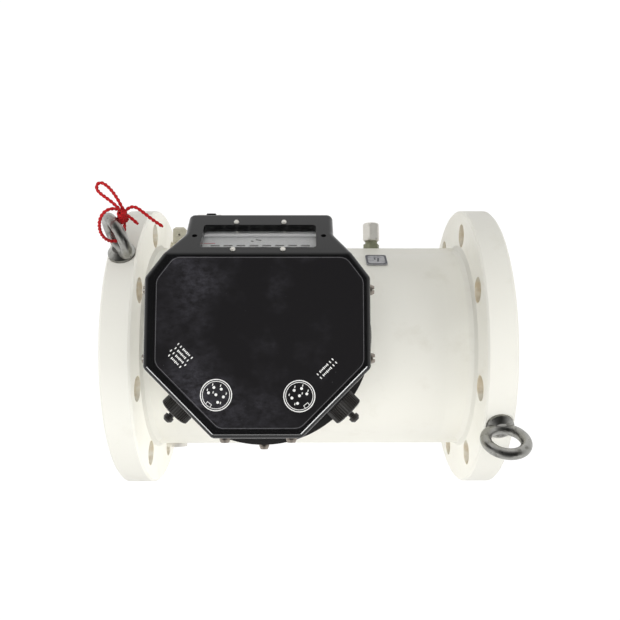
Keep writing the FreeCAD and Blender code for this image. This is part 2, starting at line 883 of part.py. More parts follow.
def change_gear():
    gear = spur_gear(drive_module, change_gear_teeth, change_gear_width, 90 + 180 / change_gear_teeth)
    gear = gear.cut(cylinder(column_radius, Vector(0, 0, 0), along_z, change_gear_width))
    return moved(gear, Placement(Vector(head_x, 0, gear_level), Rotation()))


def drive_magnet():
    top = cavity_top - moving_gap
    return ring_z(magnet_radius, column_radius, top - drive_magnet_height, top)


# Coupling flange


def coupling_flange():
    spigot = neck_bore_radius - slip_clearance
    solid = turned_z([
        (0, neck_top - coupling_spigot),
        (spigot, neck_top - coupling_spigot),
        (spigot, neck_top),
        (coupling_radius, neck_top),
        (coupling_radius, coupling_top),
        (coupling_hub_radius, coupling_top),
        (coupling_hub_radius, coupling_hub_top),
        (0, coupling_hub_top),
    ])
    clip = clip_level()
    depth = cavity_top - neck_top + coupling_spigot
    cuts = [
        cylinder(magnet_cavity_radius, Vector(head_x, 0, neck_top - coupling_spigot), along_z, depth),
        ring_z(coupling_hub_radius + 1, coupling_hub_radius - clip_groove, clip, clip + clip_thickness),
    ]
    head_floor = Vector(0, 0, coupling_top - coupling_screw_head_height)
    for p in coupling_screw_points():
        cuts.append(cylinder(coupling_screw_radius, p + Vector(0, 0, neck_top), along_z, coupling_thickness))
        cuts.append(cylinder(coupling_screw_head_radius + slip_clearance, p + head_floor, along_z,
                             coupling_screw_head_height))
    return solid.cut(Part.makeCompound(cuts)).removeSplitter()


def clip_level():
    """Height of the clip, just above the collar of the head base."""
    return coupling_hub_top - clip_thickness - clip_land


def swivel_clip():
    level = clip_level()
    outer = coupling_hub_radius - clip_groove + clip_width
    ring = ring_z(outer, coupling_hub_radius - clip_groove, level, level + clip_thickness)
    gap = Part.makeBox(clip_gap, outer + 1, clip_thickness)
    gap.translate(Vector(head_x - clip_gap / 2, 0, level))
    return ring.cut(gap)


def coupling_seal():
    return seal_groove(0)


def coupling_screws():
    """Socket head screws let into the flange."""
    level = coupling_top - coupling_screw_head_height
    screws = []
    for p in coupling_screw_points():
        head = cylinder(coupling_screw_head_radius, p + Vector(0, 0, level), along_z,
                        coupling_screw_head_height)
        shank = cylinder(coupling_screw_radius, p + Vector(0, 0, level - coupling_screw_grip), along_z,
                         coupling_screw_grip)
        key = hexagon(coupling_screw_radius * 1.6, coupling_screw_head_height / 2)
        key.translate(p + Vector(0, 0, coupling_top - coupling_screw_head_height / 2))
        screws.append(head.fuse(shank).removeSplitter().cut(key))
    return Part.makeCompound(screws)


def column_bush():
    start = neck_top - coupling_spigot
    return ring_z(magnet_cavity_radius, column_radius + running_clearance, start, start + bush_height)


# Index head housing


def hood_points():
    """Plan of the hood: an octagon with a box for the window in front."""
    back_start = hood_back - hood_back_chamfer
    half = [
        (hood_box_half_width, -hood_front),
        (hood_box_half_width, -hood_shoulder),
        (hood_half_width, -hood_side_front),
        (hood_half_width, back_start),
        (hood_half_width - hood_back_chamfer, hood_back),
    ]
    return half + [(-x, y) for x, y in reversed(half)]


def hood_face(inset, level, corner):
    """Plan face of the hood at one height, moved in from the walls, with rounded corners."""
    points = [Vector(head_x + x, y, level) for x, y in hood_points()]
    wire = Part.makePolygon(points + points[:1])
    if inset:
        wire = wire.makeOffset2D(-inset, join=2)
    prism = Part.Face(wire).extrude(Vector(0, 0, 1))
    upright = [e for e in prism.Edges if abs(e.Vertexes[0].Z - e.Vertexes[1].Z) > 0.5]
    prism = prism.makeFillet(corner, upright)
    return min(prism.Faces, key=lambda f: f.BoundBox.ZMax)


def window_place():
    """Local frame of the reading window: z points out of the slope, y runs up it."""
    run = window_drop * math.cos(math.radians(slope_angle_deg))
    drop = window_drop * math.sin(math.radians(slope_angle_deg))
    return Placement(Vector(head_x, -slope_start - run, hood_top - drop), slope_turn)


def beyond_slope(depth):
    """Everything in front of the sloped plane, moved inwards by a depth."""
    size = 400.0
    block = Part.makeBox(size, size, size, Vector(-size / 2, -size / 2, -depth))
    return moved(block, window_place())


def in_window(shape):
    return moved(shape, window_place())


def window_screw_points():
    offset = window_height / 2 + window_screw_offset
    return [Vector(sx * window_screw_spacing / 2, sy * offset, 0) for sx in (-1, 1) for sy in (-1, 1)]


def hood_block(inset, top, slope_depth, corner):
    solid = hood_face(inset, base_top, corner).extrude(Vector(0, 0, top - base_top))
    return solid.cut(beyond_slope(slope_depth))


def socket_place(side):
    """Local frame of a signal socket: z points out of the rear chamfer."""
    out = Vector(side, 1, 0).normalize()
    along = Vector(side, -1, 0).normalize()
    point = out * (hood_chamfer_reach / math.sqrt(2)) + along * socket_side_shift
    turn = Rotation(along_z, out)
    return Placement(Vector(head_x + point.x, point.y, socket_level), turn)


def hood_screw_places():
    """Seats of the hood screws on both sides and at the back, local z out of the wall."""
    seats = []
    for side in (-1, 1):
        for y in (-hood_screw_side_front, hood_screw_side_back):
            seats.append((Vector(head_x + side * hood_half_width, y, hood_screw_level), Vector(side, 0, 0)))
        back = Vector(head_x + side * hood_screw_back_offset, hood_back, hood_screw_level)
        seats.append((back, along_y))
    return [Placement(point, Rotation(along_z, out)) for point, out in seats]


def hood():
    """Moulded hood: a shell with a thick sloped front for the window."""
    block = hood_block(0, hood_top, 0, hood_corner_radius)
    upper = [e for e in block.Edges if e.BoundBox.ZMin > base_top + 1 and not is_upright(e)]
    block = block.makeFillet(hood_edge_radius, upper)
    inner = hood_block(hood_wall, hood_top - hood_wall, window_wall, hood_corner_radius / 2)
    opening = rounded_plate(window_width, window_height, 2 * window_wall, window_corner_radius)
    opening.translate(Vector(0, 0, -1.5 * window_wall))
    cuts = [inner, in_window(opening)]
    for x in (-seal_hole_spacing / 2, seal_hole_spacing / 2):
        hole = cylinder(seal_hole_radius, Vector(x, 0, -seal_hole_depth), along_z, seal_hole_depth + 1)
        cuts.append(in_window(hole))
    for p in window_screw_points():
        hole = cylinder(window_screw_radius, p - Vector(0, 0, 2 * window_wall), along_z, 3 * window_wall)
        cuts.append(in_window(hole))
    for place in hood_screw_places():
        hole = cylinder(hood_screw_radius, Vector(0, 0, -2 * hood_wall), along_z, 3 * hood_wall)
        cuts.append(moved(hole, place))
    for side in (-1, 1):
        hole = cylinder(socket_barrel_radius, Vector(0, 0, -2 * hood_wall), along_z, 3 * hood_wall)
        cuts.append(moved(hole, socket_place(side)))
    for cut in cuts:
        block = block.cut(cut)
    return block.removeSplitter()


def is_upright(edge):
    ends = edge.Vertexes
    return len(ends) == 2 and math.hypot(ends[0].X - ends[1].X, ends[0].Y - ends[1].Y) < 0.01


def label_plate():
    """Label film on the flat top of the hood."""
    plan = hood_face(label_margin, hood_top, label_corner_radius)
    film = plan.extrude(Vector(0, 0, label_thickness))
    front = slope_start - label_front_gap
    trim = Part.makeBox(4 * hood_half_width, 2 * hood_front, 1 + label_thickness)
    trim.translate(Vector(head_x - 2 * hood_half_width, -front - 2 * hood_front, hood_top))
    film = film.cut(trim)
    front_corners = [e for e in film.Edges if is_upright(e) and abs(e.Vertexes[0].Y + front) < 0.01]
    film = film.makeFillet(label_corner_radius, front_corners)
    film.translate(Vector(label_shift, 0, 0))
    return film


def head_base():
    """Round pan that turns on the coupling hub, with a lip that carries the hood."""
    floor = coupling_top + moving_gap
    bore = coupling_hub_radius + running_clearance
    collar_top = clip_level() - moving_gap
    pan = turned_z([
        (bore, floor),
        (base_radius - base_chamfer, floor),
        (base_radius, floor + base_chamfer),
        (base_radius, base_top),
        (base_opening_radius, base_top),
        (base_opening_radius, base_top - base_lip),
        (base_radius - base_wall, base_top - base_lip),
        (base_radius - base_wall, floor + base_floor + base_chamfer / 2),
        (base_radius - base_wall - base_chamfer / 2, floor + base_floor),
        (bore + base_collar_wall, floor + base_floor),
        (bore + base_collar_wall, collar_top),
        (bore, collar_top),
    ])
    underside = Vector(head_x, 0, base_top - base_lip)
    plan = hood_face(0, underside.z, hood_corner_radius).extrude(Vector(0, 0, base_lip))
    front = Part.makeBox(2 * hood_box_half_width, hood_front - hood_shoulder, base_lip)
    front.translate(Vector(head_x - hood_box_half_width, -hood_front, underside.z))
    inside = cylinder(base_radius - base_wall / 2, underside, along_z, base_lip)
    window_foot = plan.common(front).cut(inside)
    lock = cylinder(lock_screw_radius, Vector(head_x, bore / 2, lock_screw_level), along_y, base_radius)
    return fused([pan] + window_foot.Solids).cut(lock).removeSplitter()


def lock_screw():
    """Screw in the back of the base that holds the head in the direction it was turned to."""
    inner = coupling_hub_radius + moving_gap
    length = base_radius - inner
    screw = pan_screw(lock_screw_head_radius, lock_screw_head_height, lock_screw_radius, length)
    return moved(screw, Placement(Vector(head_x, base_radius, lock_screw_level), Rotation(along_x, -90)))


def hood_screws():
    length = hood_wall + tab_thickness + slip_clearance
    screw = pan_screw(hood_screw_head_radius, hood_screw_head_height, hood_screw_radius, length)
    return Part.makeCompound([moved(screw, place) for place in hood_screw_places()])


# Reading window


def window_pane():
    pane = rounded_plate(window_width + 2 * pane_margin, window_height + 2 * pane_margin, pane_thickness,
                         window_corner_radius)
    pane.translate(Vector(0, 0, -window_wall - pane_thickness))
    return in_window(pane.cut(Part.makeCompound(window_screw_bores())))


def window_screw_bores():
    return [cylinder(window_screw_radius, p - Vector(0, 0, 3 * window_wall), along_z, 4 * window_wall)
            for p in window_screw_points()]


def window_clamp():
    """Frame behind the pane that the window screws pull against it."""
    width = window_width + 2 * pane_margin
    height = window_height + 2 * pane_margin
    outer = rounded_plate(width, height, clamp_thickness, window_corner_radius)
    lap = 2 * clamp_lap
    frame = outer.cut(rounded_plate(width - lap, height - lap, clamp_thickness, window_corner_radius))
    frame.translate(Vector(0, 0, -window_wall - pane_thickness - clamp_thickness))
    return in_window(frame.cut(Part.makeCompound(window_screw_bores())))


def window_screws():
    length = window_wall + pane_thickness + clamp_thickness
    screw = pan_screw(window_screw_head_radius, window_screw_head_height, window_screw_radius, length)
    seats = [Placement(p, Rotation()) for p in window_screw_points()]
    return Part.makeCompound([in_window(moved(screw, seat)) for seat in seats])


# Number drums and face plate


def drum_axis_depth():
    return plate_depth + plate_thickness + drum_plate_gap + drum_radius


def drum_point(x):
    """Point on the drum axis at a distance from the head's middle."""
    return window_place().multVec(Vector(x, 0, -drum_axis_depth()))


def drum_x(k):
    """Middle of drum k along the row; drum 0 is the fastest."""
    return (drum_count - 1 - 2 * k) * drum_pitch / 2


def face_plate():
    plate = rounded_plate(plate_width, plate_height, plate_thickness, window_corner_radius)
    plate.translate(Vector(0, 0, -plate_depth - plate_thickness))
    for k in range(drum_count):
        hole = Part.makeBox(aperture_width, aperture_height, 3 * plate_thickness)
        corner = Vector(-aperture_width / 2, -aperture_height / 2, -plate_depth - 2 * plate_thickness)
        hole.translate(corner + Vector(drum_x(k), 0, 0))
        plate = plate.cut(hole)
    return in_window(plate)


def drum_shaft():
    span = 2 * chassis_side_offset + chassis_plate
    return cylinder(drum_shaft_radius, drum_point(-chassis_side_offset - chassis_plate / 2), along_x, span)


def number_drum(k):
    """Number drum; the fastest one carries the gear that the idler turns."""
    bore = drum_shaft_radius + running_clearance
    centre = drum_point(0)
    start = head_x + drum_x(k) - drum_width / 2
    parts = [cylinder(drum_radius, Vector(start, centre.y, centre.z), along_x, drum_width)]
    if k == 0:
        parts.append(gear_across(drum_gear_teeth, drum_gear_phase(), gear_train_x(), centre))
        step = gear_train_x() - start - drum_width
        hub = drum_shaft_radius * 2
        parts.append(cylinder(hub, Vector(start + drum_width - 1, centre.y, centre.z), along_x, step + 2))
    solid = fused(parts) if k == 0 else parts[0]
    return solid.cut(cylinder(bore, Vector(start - 1, centre.y, centre.z), along_x, drum_width * 3))


# Index gear train


def gear_train_x():
    """Distance of the side gears from the middle of the head, given as a line coordinate."""
    return head_x + drum_x(0) + drum_width / 2 + moving_gap


def gear_across(teeth, phase_deg, x, centre):
    """Index gear with its axis along the line."""
    gear = spur_gear(index_module, teeth, index_gear_width, phase_deg)
    return moved(gear, Placement(Vector(x, centre.y, centre.z), Rotation(along_y, 90)))


def across_angle(start, end):
    """Direction from one cross axis to another, as an angle of gears made by gear_across."""
    return math.degrees(math.atan2(end.y - start.y, -(end.z - start.z)))


def cross_level():
    """Height of the cross shaft: its set rise, or more where the idler would not reach the drums."""
    drum = drum_point(0)
    reach = train_stretch * index_module * (cross_pinion_teeth + 2 * idler_teeth + drum_gear_teeth) / 2
    return max(base_top + cross_rise, drum.z - math.sqrt(reach ** 2 - (drum.y - cross_y) ** 2))


def bridge_level():
    return cross_level() + bridge_rise


def cross_point():
    return Vector(head_x, cross_y, cross_level())


def idler_point():
    """Idler centre at its meshing distance from the cross pinion and the drum gear."""
    start = cross_point()
    end = drum_point(0)
    near = index_module * (cross_pinion_teeth + idler_teeth) / 2
    far = index_module * (drum_gear_teeth + idler_teeth) / 2
    span = math.hypot(end.y - start.y, end.z - start.z)
    along = (near ** 2 - far ** 2 + span ** 2) / (2 * span)
    aside = math.sqrt(near ** 2 - along ** 2)
    dy = (end.y - start.y) / span
    dz = (end.z - start.z) / span
    return Vector(head_x, start.y + along * dy + aside * dz, start.z + along * dz - aside * dy)


def idler_phase():
    return across_angle(idler_point(), cross_point()) + 180 / idler_teeth


def drum_gear_phase():
    """Turn of the drum gear that puts a gap where the idler has a tooth."""
    step = 360 / idler_teeth
    lead = ((across_angle(idler_point(), drum_point(0)) - idler_phase()) / step) % 1
    own_step = 360 / drum_gear_teeth
    return across_angle(drum_point(0), idler_point()) + (lead + 0.5) * own_step


def follower_magnet():
    top = base_top - moving_gap
    return ring_z(magnet_radius, index_shaft_radius, top - follower_height, top)


def index_shaft():
    """Upright shaft with the index worm cut on it."""
    bottom = base_top - moving_gap - follower_height
    top = bridge_level() + chassis_plate
    pitch = math.pi * index_module
    start = cross_level() - 0.75 * pitch - pitch * (index_worm_turns // 2)
    worm = worm_thread(index_module, index_worm_radius, index_worm_turns)
    worm = moved(worm, Placement(Vector(head_x, 0, start), Rotation()))
    collar = chassis_floor + moving_gap
    root = index_worm_radius - 1.25 * index_module
    sleeve = cylinder(root, Vector(head_x, 0, collar), along_z, start - collar + 1)
    shaft = cylinder(index_shaft_radius, Vector(head_x, 0, bottom), along_z, top - bottom)
    return fused([shaft, sleeve, worm])


def cross_shaft():
    """Cross shaft with the index wheel in the middle and the pinion at its end."""
    centre = cross_point()
    reach = chassis_side_offset + chassis_plate / 2
    shaft = cylinder(cross_shaft_radius, centre - Vector(reach, 0, 0), along_x, 2 * reach)
    wheel = spur_gear(index_module, index_wheel_teeth, index_wheel_width, 90 + 180 / index_wheel_teeth)
    wheel = moved(wheel, Placement(centre - Vector(index_wheel_width / 2, 0, 0), Rotation(along_y, 90)))
    pinion_phase = across_angle(centre, idler_point())
    pinion = gear_across(cross_pinion_teeth, pinion_phase, gear_train_x(), centre)
    collar_end = head_x - chassis_side_offset + chassis_plate / 2 + moving_gap
    collar = cylinder(2 * cross_shaft_radius, Vector(collar_end, centre.y, centre.z), along_x, 2.0)
    return fused([shaft, wheel, pinion, collar])


def idler_gear():
    centre = idler_point()
    gear = gear_across(idler_teeth, idler_phase(), gear_train_x(), centre)
    bore = cross_shaft_radius + running_clearance
    return gear.cut(cylinder(bore, Vector(head_x, centre.y, centre.z), along_x, hood_half_width))


def chassis_side(x):
    """Upright side plate of the chassis, cut to the slope of the face plate."""
    depth = plate_depth + plate_thickness
    low = window_place().multVec(Vector(0, -plate_height / 2, -depth))
    high = window_place().multVec(Vector(0, plate_height / 2 - chassis_top_inset, -depth))
    outline = [
        (-chassis_foot_back, chassis_floor),
        (-chassis_foot_front, chassis_floor),
        (-chassis_foot_front, low.z + (low.y + chassis_foot_front)),
        (high.y, high.z),
        (high.y + chassis_top_width, high.z),
        (-chassis_foot_back, bridge_level() + chassis_plate + chassis_back_margin),
    ]
    face = polygon_face([Vector(x - chassis_plate / 2, y, z) for y, z in outline])
    return face.extrude(Vector(chassis_plate, 0, 0))


def index_chassis():
    """Folded plate that closes the base and carries the index gears, drums and hood screws."""
    plan = hood_face(hood_wall + moving_gap, base_top, hood_corner_radius / 2)
    plate = plan.extrude(Vector(0, 0, chassis_plate))
    bridge_length = 2 * chassis_side_offset + chassis_plate
    bridge = Part.makeBox(bridge_length, 2 * bridge_half_width, chassis_plate)
    bridge.translate(Vector(head_x - bridge_length / 2, -bridge_half_width - bridge_shift, bridge_level()))
    parts = [plate, bridge]
    parts += [chassis_side(head_x + side * chassis_side_offset) for side in (-1, 1)]
    tab_top = hood_screw_level + tab_width / 2
    for place in hood_screw_places():
        tab = Part.makeBox(tab_thickness, tab_width, tab_top - base_top)
        inset = hood_wall + slip_clearance + tab_thickness
        tab.translate(Vector(-inset, -tab_width / 2, base_top - hood_screw_level))
        out = place.Rotation.multVec(along_z)
        heading = math.degrees(math.atan2(out.y, out.x))
        parts.append(moved(tab, Placement(place.Base, Rotation(along_z, heading))))
    idler = idler_point()
    pin_start = gear_train_x() - moving_gap
    pin_end = head_x + chassis_side_offset
    pin = cylinder(cross_shaft_radius, Vector(pin_start, idler.y, idler.z), along_x, pin_end - pin_start)
    parts.append(pin)
    solid = fused(parts)
    cross = cross_point()
    drum = drum_point(0)
    reach = hood_half_width
    cuts = [
        cylinder(index_shaft_radius + running_clearance, Vector(head_x, 0, base_top), along_z,
                 hood_top - base_top),
        cylinder(cross_shaft_radius + running_clearance, cross - Vector(reach, 0, 0), along_x, 2 * reach),
        cylinder(drum_shaft_radius, drum - Vector(reach, 0, 0), along_x, 2 * reach),
    ]
    cuts += [moved(cylinder(hood_screw_radius, Vector(0, 0, -3 * hood_wall), along_z, 3 * hood_wall), place)
             for place in hood_screw_places()]
    return solid.cut(Part.makeCompound(cuts)).removeSplitter()


# Signal sockets and dust caps


def signal_socket():
    """Round socket with a flange, a barrel for the cap and contact pins in its recess."""
    flange = cylinder(socket_flange_radius, Vector(0, 0, 0), along_z, socket_flange_thickness)
    tail = hood_wall + socket_tail_length
    length = tail + socket_flange_thickness + socket_barrel_length
    barrel = cylinder(socket_barrel_radius, Vector(0, 0, -tail), along_z, length)
    floor = socket_flange_thickness + socket_barrel_length - socket_recess_depth
    recess = cylinder(socket_recess_radius, Vector(0, 0, floor), along_z, socket_recess_depth)
    body = barrel.fuse(flange).removeSplitter().cut(recess)
    pins = []
    for k in range(socket_pin_count):
        turn = 2 * math.pi * k / socket_pin_count
        base = Vector(socket_pin_circle * math.cos(turn), socket_pin_circle * math.sin(turn), floor - 1)
        pins.append(cylinder(socket_pin_radius, base, along_z, socket_recess_depth * 0.8))
    return fused([body] + pins)


def signal_sockets():
    return Part.makeCompound([moved(signal_socket(), socket_place(side)) for side in (-1, 1)])


def dust_cap(side):
    """Ridged screw cap with a small knob on its end."""
    points = []
    for k in range(2 * cap_ridges):
        turn = math.pi * k / cap_ridges
        radius = cap_radius - cap_ridge_depth * (k % 2)
        points.append(Vector(radius * math.cos(turn), radius * math.sin(turn), 0))
    start = socket_flange_thickness + moving_gap
    body = polygon_face(points).extrude(Vector(0, 0, cap_length))
    rounded = Part.makeCylinder(cap_radius + cap_ridge_depth / 2, cap_length)
    end_rim = [e for e in rounded.Edges if min(v.Z for v in e.Vertexes) > cap_length / 2]
    body = body.common(rounded.makeFillet(cap_edge_radius, end_rim))
    body.translate(Vector(0, 0, start))
    inside = cap_length - cap_end_wall
    body = body.cut(cylinder(socket_barrel_radius + moving_gap, Vector(0, 0, start), along_z, inside))
    end = start + cap_length
    knob = turned_z([
        (0, end - cap_end_wall / 2),
        (knob_stem_radius, end - cap_end_wall / 2),
        (knob_stem_radius, end + knob_stem_length),
        (knob_radius, end + knob_stem_length),
        (knob_radius, end + knob_stem_length + knob_length * 0.6),
        (knob_radius * 0.6, end + knob_stem_length + knob_length),
        (0, end + knob_stem_length + knob_length),
    ], 0.0)
    return moved(fused([body, knob]), socket_place(side))


# Fittings on the body


def port_place(x, side):
    """Local frame of a port in a side pad, z out of the pad."""
    return Placement(Vector(x, side * side_pad_reach, 0), Rotation(along_x, -side * 90))


def tap_hexagon(across_flats, length):
    """Hexagon of the tapping, turned a little about its axis."""
    return turned_about(hexagon(across_flats, length), along_z, tap_hex_turn_deg)


def pressure_fitting():
    """Fitting with a hexagon collar, a waist and the nipple that the cap nut closes."""
    bottom = Vector(0, 0, -fitting_thread_length)
    parts = [
        cylinder(fitting_thread_radius, bottom, along_z, fitting_thread_length),
        tap_hexagon(tap_collar_across_flats, tap_collar_height),
        cylinder(tap_waist_radius, Vector(0, 0, 0), along_z, tap_nut_seat),
        cylinder(tap_nipple_radius, Vector(0, 0, 0), along_z, tap_nut_seat + tap_nipple_length),
    ]
    length = fitting_thread_length + tap_nut_seat + tap_nipple_length
    bore = cylinder(tap_bore_radius, bottom, along_z, length)
    return moved(fused(parts).cut(bore), port_place(tap_x, -1))


def pressure_cap_nut():
    """Hexagon cap nut, chamfered at both ends."""
    corner = tap_nut_across_flats / 2 / math.cos(math.pi / 6)
    cone = turned_z([
        (0, 0),
        (corner - tap_nut_chamfer, 0),
        (corner + 1, tap_nut_chamfer + 1),
        (corner + 1, tap_nut_height - tap_nut_chamfer - 1),
        (corner - tap_nut_chamfer, tap_nut_height),
        (0, tap_nut_height),
    ], 0.0)
    bore = cylinder(tap_nipple_radius, Vector(0, 0, 0), along_z, tap_nut_height - tap_nut_roof)
    nut = tap_hexagon(tap_nut_across_flats, tap_nut_height).common(cone).cut(bore)
    nut.translate(Vector(0, 0, tap_nut_seat))
    return moved(nut, port_place(tap_x, -1))


def tap_plate():
    """Small bare plate on the barrel above the tapping, resting on the pad where that stands higher."""
    lean = math.radians(tap_plate_lean_deg)
    edge_y, edge_z = pad_edge()
    out = Vector(0, math.cos(lean), math.sin(lean))
    up = Vector(0, -math.sin(lean), math.cos(lean))
    edge = Vector(0, edge_y, edge_z)
    slope = Vector(0, side_pad_reach, side_pad_flat / 2) - edge
    share = (-tap_plate_height / 2 - edge.dot(up)) / slope.dot(up)
    seat = max(barrel_radius, edge.dot(out) + share * slope.dot(out))
    plate = rounded_plate(tap_plate_width, tap_plate_height, tap_plate_thickness, tap_plate_corner)
    plate.translate(Vector(tap_x, 0, seat))
    return turned_about(plate, along_x, 90 - tap_plate_lean_deg)


def sealing_plug():
    """Square-headed plug with a cross hole for a sealing wire."""
    head_start = sealing_plug_collar_height
    half = sealing_plug_across_flats / 2
    head = Part.makeBox(2 * half, 2 * half, sealing_plug_head, Vector(-half, -half, head_start))
    top = [e for e in head.Edges if e.BoundBox.ZMin > head_start + 1]
    head = head.makeChamfer(sealing_plug_chamfer, top)
    parts = [
        cylinder(fitting_thread_radius, Vector(0, 0, -fitting_thread_length), along_z, fitting_thread_length),
        cylinder(sealing_plug_collar_radius, Vector(0, 0, 0), along_z, sealing_plug_collar_height),
        head,
    ]
    level = head_start + sealing_plug_head / 2
    hole = cylinder(sealing_plug_hole_radius, Vector(0, -2 * half, level), along_y, 4 * half)
    return moved(fused(parts).cut(hole), port_place(plug_x, -1))


def flat_plug():
    """Low plug with a hexagon key recess."""
    parts = [
        cylinder(fitting_thread_radius, Vector(0, 0, -fitting_thread_length), along_z, fitting_thread_length),
        cylinder(flat_plug_radius, Vector(0, 0, 0), along_z, flat_plug_height),
    ]
    key = hexagon(flat_plug_key, flat_plug_key_depth)
    key.translate(Vector(0, 0, flat_plug_height - flat_plug_key_depth))
    return moved(fused(parts).cut(key), port_place(plug_x, 1))


def lifting_eye():
    """Forged eye: threaded stud, collar with a tapered neck, and ring."""
    ring = Part.makeTorus(eye_ring_radius, eye_ring_wire, Vector(0, 0, eye_ring_height), along_y)
    stem = turned_z([
        (0, -eye_thread_length),
        (eye_thread_radius, -eye_thread_length),
        (eye_thread_radius, 0),
        (eye_collar_radius, 0),
        (eye_collar_radius, eye_neck_height / 3),
        (eye_neck_radius, eye_neck_height),
        (0, eye_neck_height),
    ], 0.0)
    return stem.fuse(ring).removeSplitter()


def lifting_eyes():
    return Part.makeCompound([moved(lifting_eye(), place) for place in (inlet_eye, outlet_eye)])


# Tie cord


def cord_wire(points):
    """Straight runs joined by tangent arcs, and the radii of those arcs."""
    edges = []
    radii = []
    start = points[0]
    for before, corner, after in zip(points, points[1:], points[2:]):
        back = before - corner
        ahead = after - corner
        reach = cord_bend_share * min(back.Length, ahead.Length)
        half_turn = (math.pi - back.getAngle(ahead)) / 2
        back.normalize()
        ahead.normalize()
        radius = reach / math.tan(half_turn)
        inward = (back + ahead).normalize()
        middle = corner + inward * (radius / math.cos(half_turn) - radius)
        edges.append(Part.LineSegment(start, corner + back * reach).toShape())
        edges.append(Part.Arc(corner + back * reach, middle, corner + ahead * reach).toShape())
        radii.append(radius)
        start = corner + ahead * reach
    edges.append(Part.LineSegment(start, points[-1]).toShape())
    return Part.Wire(edges), radii


def tie_knot():
    half = knot_length / 2
    knot = turned_z([
        (0, -half),
        (knot_end_radius, -half),
        (knot_radius, knot_end_length - half),
        (knot_radius, half - knot_end_length),
        (knot_end_radius, half),
        (0, half),
    ], 0.0)
    return moved(knot, Placement(outlet_ring_centre + knot_offset, outlet_eye.Rotation))


def tie_cord(name, route):
    """Tube along a route, cut where it enters the knot."""
    points = [outlet_ring_centre + Vector(*offset) for offset in route]
    wire, radii = cord_wire(points)
    section = Part.Wire(Part.makeCircle(cord_diameter / 2, points[0], points[1] - points[0]))
    tube = wire.makePipeShell([section], True, False)
    expected = math.pi * cord_diameter ** 2 / 4 * wire.Length
    print(name, "bend radii", [round(r, 1) for r in radii], "length", round(wire.Length, 1),
          "volume share", round(tube.Volume / expected, 3))
    return tube.cut(tie_knot())


pieces = {
    "meter_body": meter_body,
    "inlet_flange_ring": inlet_flange_ring,
    "outlet_flange_ring": outlet_flange_ring,
    "cartridge_liner": cartridge_liner,
    "retaining_ring": retaining_ring,
    "flow_straightener": flow_straightener,
    "turbine_rotor": turbine_rotor,
    "rotor_shaft": rotor_shaft,
    "rotor_nut": rotor_nut,
    "rotor_bearings": rotor_bearings,
    "gear_housing": gear_housing,
    "tail_cone": tail_cone,
    "gear_frame": gear_frame,
    "lay_shaft": lay_shaft,
    "lay_gears": lay_gears,
    "column_shaft": column_shaft,
    "change_gear": change_gear,
    "drive_magnet": drive_magnet,
    "coupling_flange": coupling_flange,
    "coupling_seal": coupling_seal,
    "coupling_screws": coupling_screws,
    "column_bush": column_bush,
    "swivel_clip": swivel_clip,
    "head_base": head_base,
    "hood": hood,
    "label_plate": label_plate,
    "hood_screws": hood_screws,
    "lock_screw": lock_screw,
    "window_pane": window_pane,
    "window_clamp": window_clamp,
    "window_screws": window_screws,
    "face_plate": face_plate,
    "index_chassis": index_chassis,
    "drum_shaft": drum_shaft,
    "follower_magnet": follower_magnet,
    "index_shaft": index_shaft,
    "cross_shaft": cross_shaft,
    "idler_gear": idler_gear,
    "signal_sockets": signal_sockets,
    "pressure_fitting": pressure_fitting,
    "pressure_cap_nut": pressure_cap_nut,
    "tap_plate": tap_plate,
    "sealing_plug": sealing_plug,
    "flat_plug": flat_plug,
    "lifting_eyes": lifting_eyes,
    "tie_knot": tie_knot,
}
tie_routes = {
    "tie_loop": tie_loop_route,
    "tie_bow": tie_bow_route,
    "tie_tail_long": tie_tail_long_route,
    "tie_tail_short": tie_tail_short_route,
}

os.makedirs("parts", exist_ok=True)
shapes = {name: make() for name, make in pieces.items()}
for k in range(drum_count):
    shapes[f"number_drum_{k + 1}"] = number_drum(k)
shapes["dust_cap_left"] = dust_cap(-1)
shapes["dust_cap_right"] = dust_cap(1)
for name, route in tie_routes.items():
    shapes[name] = tie_cord(name, route)
for name, shape in shapes.items():
    state = "valid" if shape.isValid() else "NOT VALID"
    print(name, len(shape.Solids), "solids", round(shape.Volume), "mm3", state)
    shape.exportStep(f"parts/{name}.step")
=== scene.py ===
import json
import math

import bmesh
import bpy
from mathutils import Matrix, Vector


